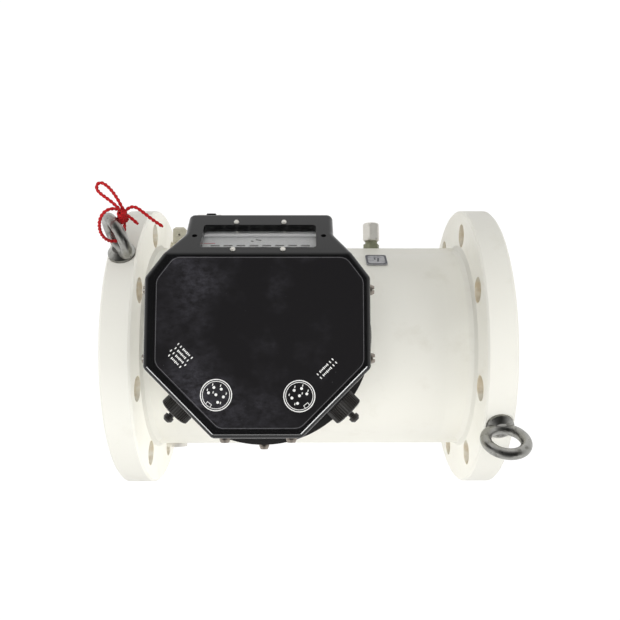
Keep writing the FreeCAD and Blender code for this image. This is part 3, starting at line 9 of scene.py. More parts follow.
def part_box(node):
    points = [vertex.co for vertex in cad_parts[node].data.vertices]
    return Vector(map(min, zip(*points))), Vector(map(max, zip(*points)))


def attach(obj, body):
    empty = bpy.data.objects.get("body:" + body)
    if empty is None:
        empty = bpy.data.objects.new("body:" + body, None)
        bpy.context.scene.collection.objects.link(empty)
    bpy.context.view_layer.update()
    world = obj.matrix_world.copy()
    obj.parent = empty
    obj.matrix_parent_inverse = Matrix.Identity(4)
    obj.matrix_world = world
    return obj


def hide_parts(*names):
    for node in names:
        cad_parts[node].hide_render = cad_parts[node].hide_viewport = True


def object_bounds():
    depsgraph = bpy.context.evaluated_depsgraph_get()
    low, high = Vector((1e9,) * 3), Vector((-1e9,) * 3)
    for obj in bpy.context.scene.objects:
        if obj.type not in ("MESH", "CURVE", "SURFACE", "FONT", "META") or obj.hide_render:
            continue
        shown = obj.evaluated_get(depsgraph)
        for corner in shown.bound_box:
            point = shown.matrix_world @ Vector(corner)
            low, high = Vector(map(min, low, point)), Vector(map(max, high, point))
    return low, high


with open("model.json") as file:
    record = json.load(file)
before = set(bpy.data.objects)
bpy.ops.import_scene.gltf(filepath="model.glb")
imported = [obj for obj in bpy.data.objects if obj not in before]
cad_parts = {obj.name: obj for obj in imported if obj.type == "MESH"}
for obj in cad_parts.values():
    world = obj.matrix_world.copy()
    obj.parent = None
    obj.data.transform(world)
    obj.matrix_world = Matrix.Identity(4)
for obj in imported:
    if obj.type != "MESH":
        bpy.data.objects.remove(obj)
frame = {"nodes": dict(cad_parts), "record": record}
cad_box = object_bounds()
nodes = frame["nodes"]
record = frame["record"]

MM = 0.001

# Camera, at the photograph's viewing angle
CAMERA_PLACE = (0.15216, 0.02955, 0.61301)
CAMERA_TURN = (0.09711, -0.00554, math.pi - 0.00152)
CAMERA_LENS = 41.21
SENSOR_WIDTH = 36.0
CLIP_START = 0.01


def joint_place(name):
    """A joint's position, in millimetres."""
    joint = next(j for j in record["behaviour"]["joints"] if j["name"] == name)
    return Vector(joint["pos_m"]) / MM


# Index head, in millimetres
HEAD_X = joint_place("head_swivel").x
LABEL_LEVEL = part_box("label_plate")[1].z / MM
FRONT_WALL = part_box("hood")[0].y / MM
PRINT_LIFT = 0.04

# Tie cord, in millimetres from the centre of the outlet eye's ring
RING_CENTRE = Vector((288.05, -73.113, 109.422))
RING_OUT = Vector((0.0, -0.55557, 0.83147))
ROPE_PITCH = 6.0
ROPE_STEPS = 14
STRAND_COUNT = 2
STRAND_SIDES = 10
STRAND_RADIUS = 0.84
STRAND_OFFSET = 0.46
STRAND_END_SHARE = 0.45
KNOT_OFFSET = Vector((-6.4, -12.0, 9.6))
KNOT_TURNS = 4
KNOT_PITCH = 2.3
KNOT_COIL_RADIUS = 2.75
KNOT_POINTS_PER_TURN = 8
# Height and starting angle of the tilt, and width and step of the wander
KNOT_TILT = (0.6, 0.8)
KNOT_WANDER = (0.042, 1.7)
# Share of the knot's length, angle and lift of each point of the strand on top
KNOT_OVER = ((-1.0, 1.3, -0.4), (-0.5, 1.7, 1.0), (0.0, 2.1, 1.0),
             (0.5, 2.6, 1.0), (1.0, 3.0, -0.4))
KNOT_OVER_SHARE = 0.45
# Lengths of the two cords, in metres
LOOP_CORD_LENGTH = 0.0835
BOW_CORD_LENGTH = 0.0895
# Control points of the two cords
LOOP_CORD = [
    (-6.3, -9.1, 5.2),
    (-5.7, -5.1, 0.2),
    (-3.3, -0.4, -3.8),
    (1.2, 3.3, -3.5),
    (5.9, 4.0, 1.7),
    (8.5, 1.2, 9.3),
    (8.4, -3.7, 16.5),
    (5.9, -9.3, 21.6),
    (1.6, -13.7, 22.6),
    (-3.3, -15.7, 19.1),
    (-6.8, -14.7, 13.8),
    (-7.7, -13.7, 10.0),
    (-8.9, -13.3, 9.1),
    (-13.1, -10.4, 8.1),
    (-16.5, -7.2, 5.8),
]
BOW_CORD = [
    (-5.4, -15.8, 13.2),
    (-1.7, -19.7, 15.2),
    (3.5, -23.6, 16.6),
    (8.0, -26.9, 16.1),
    (11.3, -30.6, 14.6),
    (11.1, -34.7, 13.6),
    (8.0, -35.8, 13.1),
    (3.1, -32.4, 13.6),
    (-1.2, -27.3, 14.6),
    (-4.5, -22.1, 14.6),
    (-6.9, -17.0, 13.1),
    (-8.4, -15.3, 10.9),
    (-10.7, -17.8, 11.6),
    (-14.6, -18.8, 11.6),
    (-18.4, -16.9, 11.1),
    (-23.4, -12.9, 9.6),
    (-28.6, -9.0, 7.1),
    (-33.8, -5.9, 3.7),
]


# Materials

# Bolt holes of the flanges, in metres
BOLT_COUNT = 8
BOLT_CIRCLE_RADIUS = 0.09525
BOLT_HOLE_RADIUS = 0.0094
# Dirt and painted warm shade in the bolt holes: how far out they reach, and their colour
HOLE_DIRT_AND_SHADE_RADIUS = 0.0104
HOLE_DIRT_AND_SHADE = (0.64, 0.54, 0.38)


class Finish:
    """A procedural material: a Principled surface fed by textures in the part's own space."""

    def __init__(self, name, **sockets):
        self.material = bpy.data.materials.new(name)
        self.material.use_nodes = True
        self.tree = self.material.node_tree
        self.surface = self.tree.nodes["Principled BSDF"]
        self.place = self.tree.nodes.new("ShaderNodeTexCoord").outputs["Object"]
        self.normal = None
        for socket, value in sockets.items():
            self.surface.inputs[socket.replace("_", " ")].default_value = value

    def stretched(self, stretch):
        """The part's space, scaled along its axes."""
        mapping = self.tree.nodes.new("ShaderNodeMapping")
        mapping.inputs["Scale"].default_value = stretch
        self.tree.links.new(self.place, mapping.inputs["Vector"])
        return mapping.outputs["Vector"]

    def noise(self, scale, detail=3.0, rough=0.5, stretch=None):
        node = self.tree.nodes.new("ShaderNodeTexNoise")
        node.inputs["Scale"].default_value = scale
        node.inputs["Detail"].default_value = detail
        node.inputs["Roughness"].default_value = rough
        place = self.stretched(stretch) if stretch else self.place
        self.tree.links.new(place, node.inputs["Vector"])
        return node.outputs["Fac"]

    def cells(self, scale, stretch=None):
        """Distance to the nearest of many scattered points."""
        node = self.tree.nodes.new("ShaderNodeTexVoronoi")
        node.inputs["Scale"].default_value = scale
        place = self.stretched(stretch) if stretch else self.place
        self.tree.links.new(place, node.inputs["Vector"])
        return node.outputs["Distance"]

    def spread(self, value, start, end, low=0.0, high=1.0):
        """A value carried from one range to another and held at its ends."""
        node = self.tree.nodes.new("ShaderNodeMapRange")
        node.inputs["From Min"].default_value = start
        node.inputs["From Max"].default_value = end
        node.inputs["To Min"].default_value = low
        node.inputs["To Max"].default_value = high
        self.tree.links.new(value, node.inputs["Value"])
        return node.outputs["Result"]

    def worked(self, operation, first, second):
        """Two values worked together, the second one an output or a number."""
        node = self.tree.nodes.new("ShaderNodeMath")
        node.operation = operation
        self.tree.links.new(first, node.inputs[0])
        if isinstance(second, float):
            node.inputs[1].default_value = second
        else:
            self.tree.links.new(second, node.inputs[1])
        return node.outputs["Value"]

    def product(self, first, second):
        return self.worked("MULTIPLY", first, second)

    def near_bolts(self):
        """One in the bolt holes around the pipe's axis, and none a little outside them."""
        split = self.tree.nodes.new("ShaderNodeSeparateXYZ")
        self.tree.links.new(self.place, split.inputs["Vector"])
        turn = self.worked("ARCTAN2", split.outputs["Y"], split.outputs["Z"])
        aside = self.worked("PINGPONG", turn, math.pi / BOLT_COUNT)
        aside = self.worked("SUBTRACT", aside, math.pi / BOLT_COUNT)
        square = self.worked("ADD", self.worked("POWER", split.outputs["Y"], 2.0),
                             self.worked("POWER", split.outputs["Z"], 2.0))
        reach = self.worked("POWER", square, 0.5)
        outward = self.worked("SUBTRACT", reach, BOLT_CIRCLE_RADIUS)
        across = self.product(aside, reach)
        distance = self.worked("ADD", self.worked("POWER", outward, 2.0),
                               self.worked("POWER", across, 2.0))
        return self.spread(distance, BOLT_HOLE_RADIUS ** 2, HOLE_DIRT_AND_SHADE_RADIUS ** 2, 1.0, 0.0)

    def blend(self, factor, first, second):
        """Colours or colour outputs mixed by a factor."""
        node = self.tree.nodes.new("ShaderNodeMix")
        node.data_type = "RGBA"
        self.tree.links.new(factor, node.inputs["Factor"])
        for socket, value in ((node.inputs[6], first), (node.inputs[7], second)):
            if isinstance(value, tuple):
                socket.default_value = (*value, 1.0)
            else:
                self.tree.links.new(value, socket)
        return node.outputs[2]

    def feed(self, socket, value):
        self.tree.links.new(value, self.surface.inputs[socket])

    def bump(self, height, distance, strength=1.0):
        """Relief on top of the relief added before."""
        node = self.tree.nodes.new("ShaderNodeBump")
        node.inputs["Distance"].default_value = distance
        node.inputs["Strength"].default_value = strength
        self.tree.links.new(height, node.inputs["Height"])
        if self.normal:
            self.tree.links.new(self.normal, node.inputs["Normal"])
        self.normal = node.outputs["Normal"]
        self.feed("Normal", self.normal)


def cream_paint(name, holed=False):
    """Thick gloss paint on a casting, with a little grime in places, and dirt and painted warm
    shade in bolt holes.
    """
    finish = Finish(name, Specular_IOR_Level=0.3, Coat_Weight=0.08, Coat_Roughness=0.3)
    shade = finish.blend(finish.noise(11.0, 3.0), (0.824, 0.810, 0.738), (0.868, 0.859, 0.798))
    grime = finish.spread(finish.noise(34.0, 9.0, 0.62), 0.56, 0.80, 0.0, 0.30)
    shade = finish.blend(grime, shade, (0.60, 0.56, 0.46))
    specks = finish.spread(finish.cells(190.0), 0.02, 0.05, 0.55, 0.0)
    sparse = finish.spread(finish.noise(23.0, 2.0), 0.60, 0.68)
    shade = finish.blend(finish.product(specks, sparse), shade, (0.30, 0.25, 0.18))
    if holed:
        # Dirt and painted warm shade on the walls of the bolt holes, broken up by noise
        holes = finish.near_bolts()
        hole_dirt_and_shade = finish.spread(finish.noise(80.0, 4.0), 0.42, 0.62, 0.10, 0.85)
        shade = finish.blend(finish.product(holes, hole_dirt_and_shade), shade, HOLE_DIRT_AND_SHADE)
    finish.feed("Base Color", shade)
    finish.feed("Roughness", finish.spread(finish.noise(45.0, 5.0), 0.35, 0.70, 0.36, 0.52))
    finish.bump(finish.noise(75.0, 3.0), 0.00022, 0.5)
    finish.bump(finish.noise(620.0, 2.0), 0.00005, 0.6)
    return finish.material


def black_hood():
    """Glossy black moulding with settled dust and fine scuffs."""
    finish = Finish("black_hood", Specular_IOR_Level=0.35)
    shade = finish.blend(finish.noise(30.0, 6.0),
                         (0.0045, 0.0045, 0.0048), (0.0085, 0.0085, 0.0088))
    dust = finish.spread(finish.cells(420.0), 0.03, 0.09, 0.75, 0.0)
    patch = finish.spread(finish.noise(60.0, 4.0), 0.50, 0.68)
    settled = finish.product(dust, patch)
    finish.feed("Base Color", finish.blend(settled, shade, (0.07, 0.07, 0.068)))
    finish.feed("Roughness", finish.spread(finish.noise(80.0, 6.0, 0.6), 0.35, 0.70, 0.06, 0.14))
    finish.bump(finish.noise(1500.0, 2.0), 0.000006, 0.3)
    return finish.material


def label_film():
    """Dark satin film with wiped smudges and specks of dust."""
    finish = Finish("label_film", Specular_IOR_Level=0.15)
    smudge = finish.spread(finish.noise(17.0, 4.0, 0.55), 0.50, 0.74)
    wiped = finish.spread(finish.noise(240.0, 6.0, 0.75, (0.8, 1.2, 1.0)), 0.36, 0.66)
    shade = finish.blend(finish.product(smudge, wiped),
                         (0.0105, 0.0098, 0.0108), (0.052, 0.050, 0.060))
    specks = finish.spread(finish.cells(300.0), 0.02, 0.07, 0.9, 0.0)
    sparse = finish.spread(finish.noise(48.0, 3.0), 0.56, 0.66)
    dust = finish.product(specks, sparse)
    finish.feed("Base Color", finish.blend(dust, shade, (0.15, 0.15, 0.16)))
    finish.feed("Roughness", finish.spread(smudge, 0.0, 1.0, 0.34, 0.58))
    finish.bump(finish.noise(900.0, 3.0), 0.000015, 0.5)
    return finish.material


def black_base():
    """Satin black coating on the turned pan under the hood."""
    finish = Finish("black_base", Metallic=0.15)
    shade = finish.blend(finish.noise(40.0, 6.0), (0.012, 0.012, 0.012), (0.028, 0.027, 0.026))
    worn = finish.spread(finish.noise(110.0, 8.0, 0.65), 0.62, 0.75, 0.0, 0.6)
    finish.feed("Base Color", finish.blend(worn, shade, (0.10, 0.095, 0.085)))
    finish.feed("Roughness", finish.spread(finish.noise(70.0, 4.0), 0.3, 0.7, 0.32, 0.5))
    finish.bump(finish.noise(900.0, 3.0), 0.00003, 0.6)
    return finish.material


def metal(name, dark, light, smooth, coarse, stain,
          stain_start=0.58, grain=(1.0, 1.0, 1.0), bare=1.0):
    """Bare or plated metal with tool grain, duller stains and an uneven sheen."""
    finish = Finish(name, Metallic=bare)
    shade = finish.blend(finish.noise(420.0, 4.0, 0.6, grain), dark, light)
    patch = finish.spread(finish.noise(150.0, 6.0, 0.6), stain_start, stain_start + 0.14)
    finish.feed("Base Color", finish.blend(patch, shade, stain))
    finish.feed("Roughness", finish.spread(finish.noise(260.0, 5.0), 0.3, 0.7, smooth, coarse))
    finish.bump(finish.noise(1600.0, 3.0, 0.6, grain), 0.00002, 0.5)
    return finish.material


def plastic(name, dark, light, smooth, coarse, grain=1800.0, relief=0.00002, gloss=0.5):
    """Moulded plastic with a fine grain and slight colour drift."""
    finish = Finish(name, Specular_IOR_Level=gloss)
    finish.feed("Base Color", finish.blend(finish.noise(90.0, 6.0, 0.6), dark, light))
    finish.feed("Roughness", finish.spread(finish.noise(160.0, 4.0), 0.3, 0.7, smooth, coarse))
    finish.bump(finish.noise(grain, 2.0), relief, 0.6)
    return finish.material


def clear_pane():
    """Clear window pane with a faint film of dust."""
    finish = Finish("clear_pane", IOR=1.75, Roughness=0.04)
    film = finish.noise(85.0, 6.0, 0.6)
    finish.feed("Base Color", finish.blend(film, (0.78, 0.82, 0.82), (0.90, 0.92, 0.91)))
    finish.feed("Alpha", finish.spread(film, 0.3, 0.75, 0.04, 0.10))
    return finish.material


def red_rope():
    """Dyed fibre, with painted shade between the fibres where the relief is low, and faded on top
    of them.
    """
    finish = Finish("red_rope", Roughness=0.7, Specular_IOR_Level=0.25,
                    Sheen_Weight=0.08, Sheen_Roughness=0.5)
    fibre_relief_and_shade = finish.noise(2600.0, 3.0, 0.6)
    # Painted shade: the rope is darker where the fibre relief is low
    shade = finish.blend(finish.spread(fibre_relief_and_shade, 0.35, 0.65),
                         (0.34, 0.005, 0.008), (0.68, 0.016, 0.020))
    faded = finish.spread(finish.noise(240.0, 3.0), 0.55, 0.75, 0.0, 0.30)
    finish.feed("Base Color", finish.blend(faded, shade, (0.62, 0.03, 0.03)))
    finish.bump(fibre_relief_and_shade, 0.00008, 0.8)
    return finish.material


def ink(name, colour, worn_colour):
    """Printed ink, thin in places."""
    finish = Finish(name, Roughness=0.5)
    worn = finish.spread(finish.noise(700.0, 5.0, 0.65), 0.50, 0.72, 0.0, 0.7)
    finish.feed("Base Color", finish.blend(worn, colour, worn_colour))
    return finish.material


FINISHES = {
    "cream_casting": cream_paint("cream_paint"),
    "bare_aluminium": metal("bare_aluminium", (0.55, 0.55, 0.55), (0.72, 0.72, 0.71), 0.28, 0.45,
                            (0.45, 0.45, 0.44), grain=(0.3, 1.0, 1.0)),
    "grey_plastic": plastic("grey_plastic", (0.14, 0.145, 0.15), (0.19, 0.195, 0.20), 0.4, 0.55),
    "steel": metal("steel", (0.46, 0.46, 0.45), (0.66, 0.66, 0.65), 0.32, 0.48, (0.38, 0.37, 0.34)),
    "zinc_steel": metal("zinc_steel", (0.26, 0.26, 0.24), (0.45, 0.445, 0.42), 0.26, 0.42,
                        (0.17, 0.165, 0.15), stain_start=0.53),
    "brass": metal("brass", (0.62, 0.45, 0.18), (0.78, 0.60, 0.28), 0.24, 0.42, (0.42, 0.30, 0.12)),
    "seal_rubber": plastic("seal_rubber", (0.012, 0.012, 0.012), (0.024, 0.024, 0.024), 0.7, 0.85),
    "black_base": black_base(),
    "black_hood": black_hood(),
    "label_film": label_film(),
    "clear_pane": clear_pane(),
    "white_plate": plastic("white_plate", (0.62, 0.62, 0.62), (0.70, 0.70, 0.70), 0.45, 0.6),
    "bare_tap_plate": metal("bare_tap_plate", (0.30, 0.30, 0.31), (0.44, 0.44, 0.455), 0.42, 0.56,
                            (0.20, 0.20, 0.21), stain_start=0.52, bare=0.6),
    "drum_plastic": plastic("drum_plastic", (0.010, 0.010, 0.010), (0.018, 0.018, 0.018),
                            0.45, 0.6),
    "socket_black": plastic("socket_black", (0.012, 0.012, 0.012), (0.026, 0.026, 0.026),
                            0.4, 0.55),
    "cap_plastic": plastic("cap_plastic", (0.012, 0.011, 0.010), (0.030, 0.027, 0.024), 0.26, 0.38,
                           gloss=0.5),
    "red_cord": red_rope(),
}
PASSIVATED = metal("passivated_zinc", (0.20, 0.21, 0.14), (0.32, 0.33, 0.23), 0.44, 0.60,
                   (0.18, 0.17, 0.11), bare=0.5)
DULL_ZINC = metal("dull_zinc", (0.50, 0.48, 0.38), (0.66, 0.63, 0.52), 0.46, 0.62,
                  (0.34, 0.31, 0.23), bare=0.3)
BRIGHT_ZINC = metal("bright_zinc", (0.70, 0.68, 0.63), (0.86, 0.84, 0.79), 0.34, 0.48,
                    (0.50, 0.48, 0.43), bare=0.55)
AGED_STEEL = metal("aged_steel", (0.24, 0.21, 0.18), (0.36, 0.32, 0.28), 0.35, 0.5,
                   (0.16, 0.13, 0.10))
FLANGE_PAINT = cream_paint("flange_paint", holed=True)
NODE_FINISHES = {
    "inlet_flange_ring": FLANGE_PAINT,
    "outlet_flange_ring": FLANGE_PAINT,
    "window_clamp": FINISHES["white_plate"],
    "lock_screw": AGED_STEEL,
    "hood_screws": AGED_STEEL,
    "pressure_fitting": PASSIVATED,
    "sealing_plug": DULL_ZINC,
    "pressure_cap_nut": BRIGHT_ZINC,
    "window_screws": BRIGHT_ZINC,
    "flat_plug": BRIGHT_ZINC,
}
PALE_INK = ink("pale_ink", (0.84, 0.84, 0.82), (0.48, 0.48, 0.47))
# Grey line just inside the label's edge, with the same worn finish as the prints
EDGE_LINE_GREY = ink("label_edge_grey", (0.12, 0.12, 0.125), (0.05, 0.05, 0.053))
WHITE_INK = ink("white_ink", (0.78, 0.78, 0.76), (0.55, 0.55, 0.53))
RED_INK = ink("red_ink", (0.55, 0.020, 0.020), (0.40, 0.05, 0.04))
# Dark ink for the unit bars, also used for the painted shadow at the drum openings
DARK_INK_AND_SHADOW = ink("dark_ink_and_shadow", (0.05, 0.045, 0.04), (0.14, 0.13, 0.12))
SLATE_INK = ink("slate_ink", (0.045, 0.048, 0.060), (0.11, 0.115, 0.13))


def dress_cad_nodes():
    for part in record["subparts"]:
        finish = NODE_FINISHES.get(part["node"], FINISHES[part["material_slot"]])
        for place in nodes[part["node"]].material_slots:
            place.material = finish


# Pieces

# Steps in a bar's round end and in an outline's round corner
ARC_STEPS = 6


def piece_from_bmesh(name, shape, body, material):
    """Turn a bmesh made in millimetres into a piece that rides on a body."""
    bmesh.ops.recalc_face_normals(shape, faces=shape.faces)
    mesh = bpy.data.meshes.new(name)
    shape.to_mesh(mesh)
    shape.free()
    mesh.transform(Matrix.Scale(MM, 4))
    mesh.materials.append(material)
    piece = bpy.data.objects.new(name, mesh)
    bpy.context.scene.collection.objects.link(piece)
    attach(piece, body)
    return piece


def flat_face(shape, points, place):
    """Add one face from plan points, put in place by a matrix."""
    shape.faces.new([shape.verts.new(place @ Vector((x, y, 0.0))) for x, y in points])


def flat_ring(shape, outer, inner, place):
    """Add a closed band between two outlines with as many points each."""
    outside = [shape.verts.new(place @ Vector((x, y, 0.0))) for x, y in outer]
    inside = [shape.verts.new(place @ Vector((x, y, 0.0))) for x, y in inner]
    count = len(outside)
    for k in range(count):
        after = (k + 1) % count
        shape.faces.new((outside[k], outside[after], inside[after], inside[k]))


def circle_points(radius, count, x=0.0, y=0.0):
    turns = [2 * math.pi * k / count for k in range(count)]
    return [(x + radius * math.cos(t), y + radius * math.sin(t)) for t in turns]


def bar_points(length, width, x, y, turn):
    """A bar with rounded ends, centred on a point and turned."""
    points = []
    for end in (1, -1):
        for k in range(ARC_STEPS + 1):
            bend = math.pi * (k / ARC_STEPS - 0.5)
            along = end * (length / 2 - width / 2 + width / 2 * math.cos(bend))
            across = end * width / 2 * math.sin(bend)
            points.append((along, across))
    cosine = math.cos(turn)
    sine = math.sin(turn)
    return [(x + a * cosine - b * sine, y + a * sine + b * cosine) for a, b in points]


# Tie cord


def spline_line(name, points):
    """Points along the smooth curve whose control points are given, in millimetres."""
    curve = bpy.data.curves.new(name, "CURVE")
    curve.dimensions = "3D"
    curve.resolution_u = ROPE_STEPS
    spline = curve.splines.new("NURBS")
    spline.points.add(len(points) - 1)
    for target, point in zip(spline.points, points):
        target.co = (*point, 1.0)
    spline.order_u = 3
    spline.use_endpoint_u = True
    guide = bpy.data.objects.new(name, curve)
    mesh = bpy.data.meshes.new_from_object(guide)
    line = [vertex.co.copy() for vertex in mesh.vertices]
    bpy.data.meshes.remove(mesh)
    bpy.data.objects.remove(guide)
    bpy.data.curves.remove(curve)
    return line


def line_frames(line):
    """Each point of a line with its run from the start and two directions across it."""
    frames = []
    run = 0.0
    across = None
    for k, point in enumerate(line):
        before = line[max(k - 1, 0)]
        after = line[min(k + 1, len(line) - 1)]
        along = (after - before).normalized()
        if across is None:
            across = along.orthogonal()
        across = (across - along * across.dot(along)).normalized()
        run += (point - line[k - 1]).length if k else 0.0
        frames.append((point, run, across, along.cross(across)))
    return frames


def add_rope(shape, line):
    """Strands twisted around a line, closed at both ends."""
    frames = line_frames(line)
    for k in range(STRAND_COUNT):
        rings = []
        for number, (point, run, across, aside) in enumerate(frames):
            turn = 2 * math.pi * (run / ROPE_PITCH + k / STRAND_COUNT)
            middle = point + (across * math.cos(turn) + aside * math.sin(turn)) * STRAND_OFFSET
            pinch = STRAND_END_SHARE if number in (0, len(frames) - 1) else 1.0
            ring = []
            for side in range(STRAND_SIDES):
                bend = 2 * math.pi * side / STRAND_SIDES
                out = across * math.cos(bend) + aside * math.sin(bend)
                ring.append(shape.verts.new(middle + out * STRAND_RADIUS * pinch))
            rings.append(ring)
        for first, second in zip(rings, rings[1:]):
            for side in range(STRAND_SIDES):
                after = (side + 1) % STRAND_SIDES
                shape.faces.new((first[side], first[after], second[after], second[side]))
        shape.faces.new(rings[0])
        shape.faces.new(rings[-1])


def smooth(piece):
    for face in piece.data.polygons:
        face.use_smooth = True


def rope_piece(name, line):
    shape = bmesh.new()
    add_rope(shape, line)
    piece = piece_from_bmesh(name, shape, "meter", FINISHES["red_cord"])
    smooth(piece)
    return piece


def knot_lines():
    """Control points of the wraps around the knot's axis, and of one strand laid over them."""
    centre = RING_CENTRE + KNOT_OFFSET
    side = RING_OUT.cross(Vector((1.0, 0.0, 0.0))).normalized()
    front = side.cross(RING_OUT)
    wraps = []
    tilt, tilt_start = KNOT_TILT
    wander, wander_step = KNOT_WANDER
    for k in range(KNOT_TURNS * KNOT_POINTS_PER_TURN + 1):
        turns = k / KNOT_POINTS_PER_TURN
        turn = 2 * math.pi * turns
        level = (turns - KNOT_TURNS / 2) * KNOT_PITCH + tilt * math.sin(turn + tilt_start)
        reach = KNOT_COIL_RADIUS + wander * math.sin(wander_step * k)
        around = side * math.cos(turn) + front * math.sin(turn)
        wraps.append(centre + RING_OUT * level + around * reach)
    over = []
    for share, turn, lift in KNOT_OVER:
        level = share * KNOT_TURNS * KNOT_PITCH * KNOT_OVER_SHARE
        around = side * math.cos(turn) + front * math.sin(turn)
        over.append(centre + RING_OUT * level + around * (KNOT_COIL_RADIUS + lift))
    return wraps, over


def knot_piece():
    shape = bmesh.new()
    for number, points in enumerate(knot_lines()):
        add_rope(shape, spline_line(f"knot_guide_{number}", points))
    piece = piece_from_bmesh("tie_knot_wraps", shape, "meter", FINISHES["red_cord"])
    smooth(piece)
    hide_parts("tie_knot")
    return piece


def tie_cords():
    knot = knot_piece()
    cords = (
        ("tie_loop_rope", LOOP_CORD, LOOP_CORD_LENGTH, ("tie_loop", "tie_tail_short"), [knot]),
        ("tie_bow_rope", BOW_CORD, BOW_CORD_LENGTH, ("tie_bow", "tie_tail_long"), []),
    )
    for name, route, length, stands_for, with_pieces in cords:
        line = spline_line(name + "_guide", [RING_CENTRE + Vector(offset) for offset in route])
        rope = rope_piece(name, line)
        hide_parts(*stands_for)


# Prints on the label, in millimetres

PIN_CIRCLES = ((23.6, 38.7, 1), (-24.9, 39.4, -1))
PIN_RING_OUTER = 9.35
PIN_RING_INNER = 8.15
PIN_RING_LINE = 0.56
PIN_LINE = 0.36
PIN_DOT = 0.85
RING_SIDES = 64
DOT_SIDES = 20
KEY_DIRECTION = (4.4, 5.6)
KEY_REACH = 6.0
KEY_WIDTH = 3.4
PIN_DOTS = ((1.3, -4.4), (-3.0, -3.4), (4.4, -1.3), (0.1, -0.2), (-4.3, 1.1), (-1.0, 4.2))
PIN_STROKES = ((2.0, -6.1), (-2.6, -5.4), (5.1, -3.1), (1.7, -1.6), (-5.9, -0.8), (-2.6, 4.6))
PIN_STROKE = (1.4, 0.5)
PIN_STROKE_TURN = 1.3
# Place, direction in degrees, and the lengths of the groups in each row
LEFT_LINES = (45.0, 16.0, 135.0,
              ((1.2, 1.2, 6.0, 1.2), (1.2, 7.0, 1.2), (1.2, 1.2, 6.6, 1.2), (1.2, 6.2, 1.2)))
RIGHT_LINES = (-41.0, 23.4, 45.0, ((1.2, 1.2, 7.2, 1.2), (1.2, 1.2, 7.0, 1.2)))
LINE_SPACING = 2.8
LINE_HEIGHT = 1.5
WORD_GAP = 1.0
STROKE_WIDTH = 0.66
STROKE_PITCH = 1.0
LOW_STROKE = 0.75
TALL_STROKE_EVERY = 3
LABEL_MIDDLE = 6.0
LABEL_TOP_BAND = 0.01
EDGE_INSET = 0.55
EDGE_WIDTH = 0.28


def label_place():
    return Matrix.Translation(Vector((HEAD_X, 0.0, LABEL_LEVEL + PRINT_LIFT)))


def label_outline():
    """Outline of the label's top, read from the label, in millimetres from the head's axis."""
    points = [v.co / MM for v in nodes["label_plate"].data.vertices]
    top = [p for p in points if p.z > LABEL_LEVEL - LABEL_TOP_BAND]
    plan = {(round(p.x - HEAD_X, 3), round(p.y, 3)) for p in top}
    return sorted(plan, key=lambda p: math.atan2(p[1] - LABEL_MIDDLE, p[0]))


def inset(points, depth):
    """A closed convex outline moved inwards."""
    moved = []
    for k, (x, y) in enumerate(points):
        before = Vector(points[k - 1])
        after = Vector(points[(k + 1) % len(points)])
        along = (after - before).normalized()
        moved.append((x - along.y * depth, y + along.x * depth))
    return moved


def label_edge():
    outline = label_outline()
    outer = inset(outline, EDGE_INSET)
    inner = inset(outline, EDGE_INSET + EDGE_WIDTH)
    shape = bmesh.new()
    flat_ring(shape, outer, inner, label_place())
    return piece_from_bmesh("label_edge_line", shape, "head", EDGE_LINE_GREY)


def pin_diagram(shape, x, y, side):
    """Two rings, a square notch, dots and a short stroke beside each dot."""
    place = label_place() @ Matrix.Translation(Vector((x, y, 0.0)))
    for radius, line in ((PIN_RING_OUTER, PIN_RING_LINE), (PIN_RING_INNER, PIN_LINE)):
        inner = circle_points(radius - line, RING_SIDES)
        flat_ring(shape, circle_points(radius, RING_SIDES), inner, place)
    turn = math.atan2(KEY_DIRECTION[1], side * KEY_DIRECTION[0])
    outward = Vector((math.cos(turn), math.sin(turn)))
    across = Vector((-outward.y, outward.x))
    end = outward * KEY_REACH
    flat_face(shape, bar_points(KEY_WIDTH, PIN_LINE, end.x, end.y, turn + math.pi / 2), place)
    depth = PIN_RING_INNER - KEY_REACH
    for edge in (-1, 1):
        middle = outward * (KEY_REACH + depth / 2) + across * edge * (KEY_WIDTH - PIN_LINE) / 2
        flat_face(shape, bar_points(depth, PIN_LINE, middle.x, middle.y, turn), place)
    for px, py in PIN_DOTS:
        flat_face(shape, circle_points(PIN_DOT, DOT_SIDES, side * px, py), place)
    for px, py in PIN_STROKES:
        flat_face(shape, bar_points(*PIN_STROKE, side * px, py, PIN_STROKE_TURN), place)


def pin_diagrams():
    shape = bmesh.new()
    for x, y, side in PIN_CIRCLES:
        pin_diagram(shape, x, y, side)
    return piece_from_bmesh("label_pin_diagrams", shape, "head", PALE_INK)


def line_block(shape, x, y, turn_deg, rows):
    """Rows of plain upright strokes, in groups along a turned direction."""
    turn = math.radians(turn_deg)
    along = Vector((math.cos(turn), math.sin(turn)))
    down = Vector((math.sin(turn), -math.cos(turn)))
    for number, words in enumerate(rows):
        level = (number - (len(rows) - 1) / 2) * LINE_SPACING
        total = sum(words) + WORD_GAP * (len(words) - 1)
        start = -total / 2
        for word in words:
            strokes = round(word / STROKE_PITCH)
            for k in range(strokes):
                reach = start + (k + 0.5) * word / strokes
                centre = Vector((x, y)) + along * reach + down * level
                height = LINE_HEIGHT * (LOW_STROKE if k % TALL_STROKE_EVERY else 1.0)
                points = bar_points(height, STROKE_WIDTH, centre.x, centre.y, turn + math.pi / 2)
                flat_face(shape, points, label_place())
            start += word + WORD_GAP


def label_lines():
    shape = bmesh.new()
    line_block(shape, *LEFT_LINES)
    line_block(shape, *RIGHT_LINES)
    return piece_from_bmesh("label_line_blocks", shape, "head", PALE_INK)


# Reading window, in millimetres

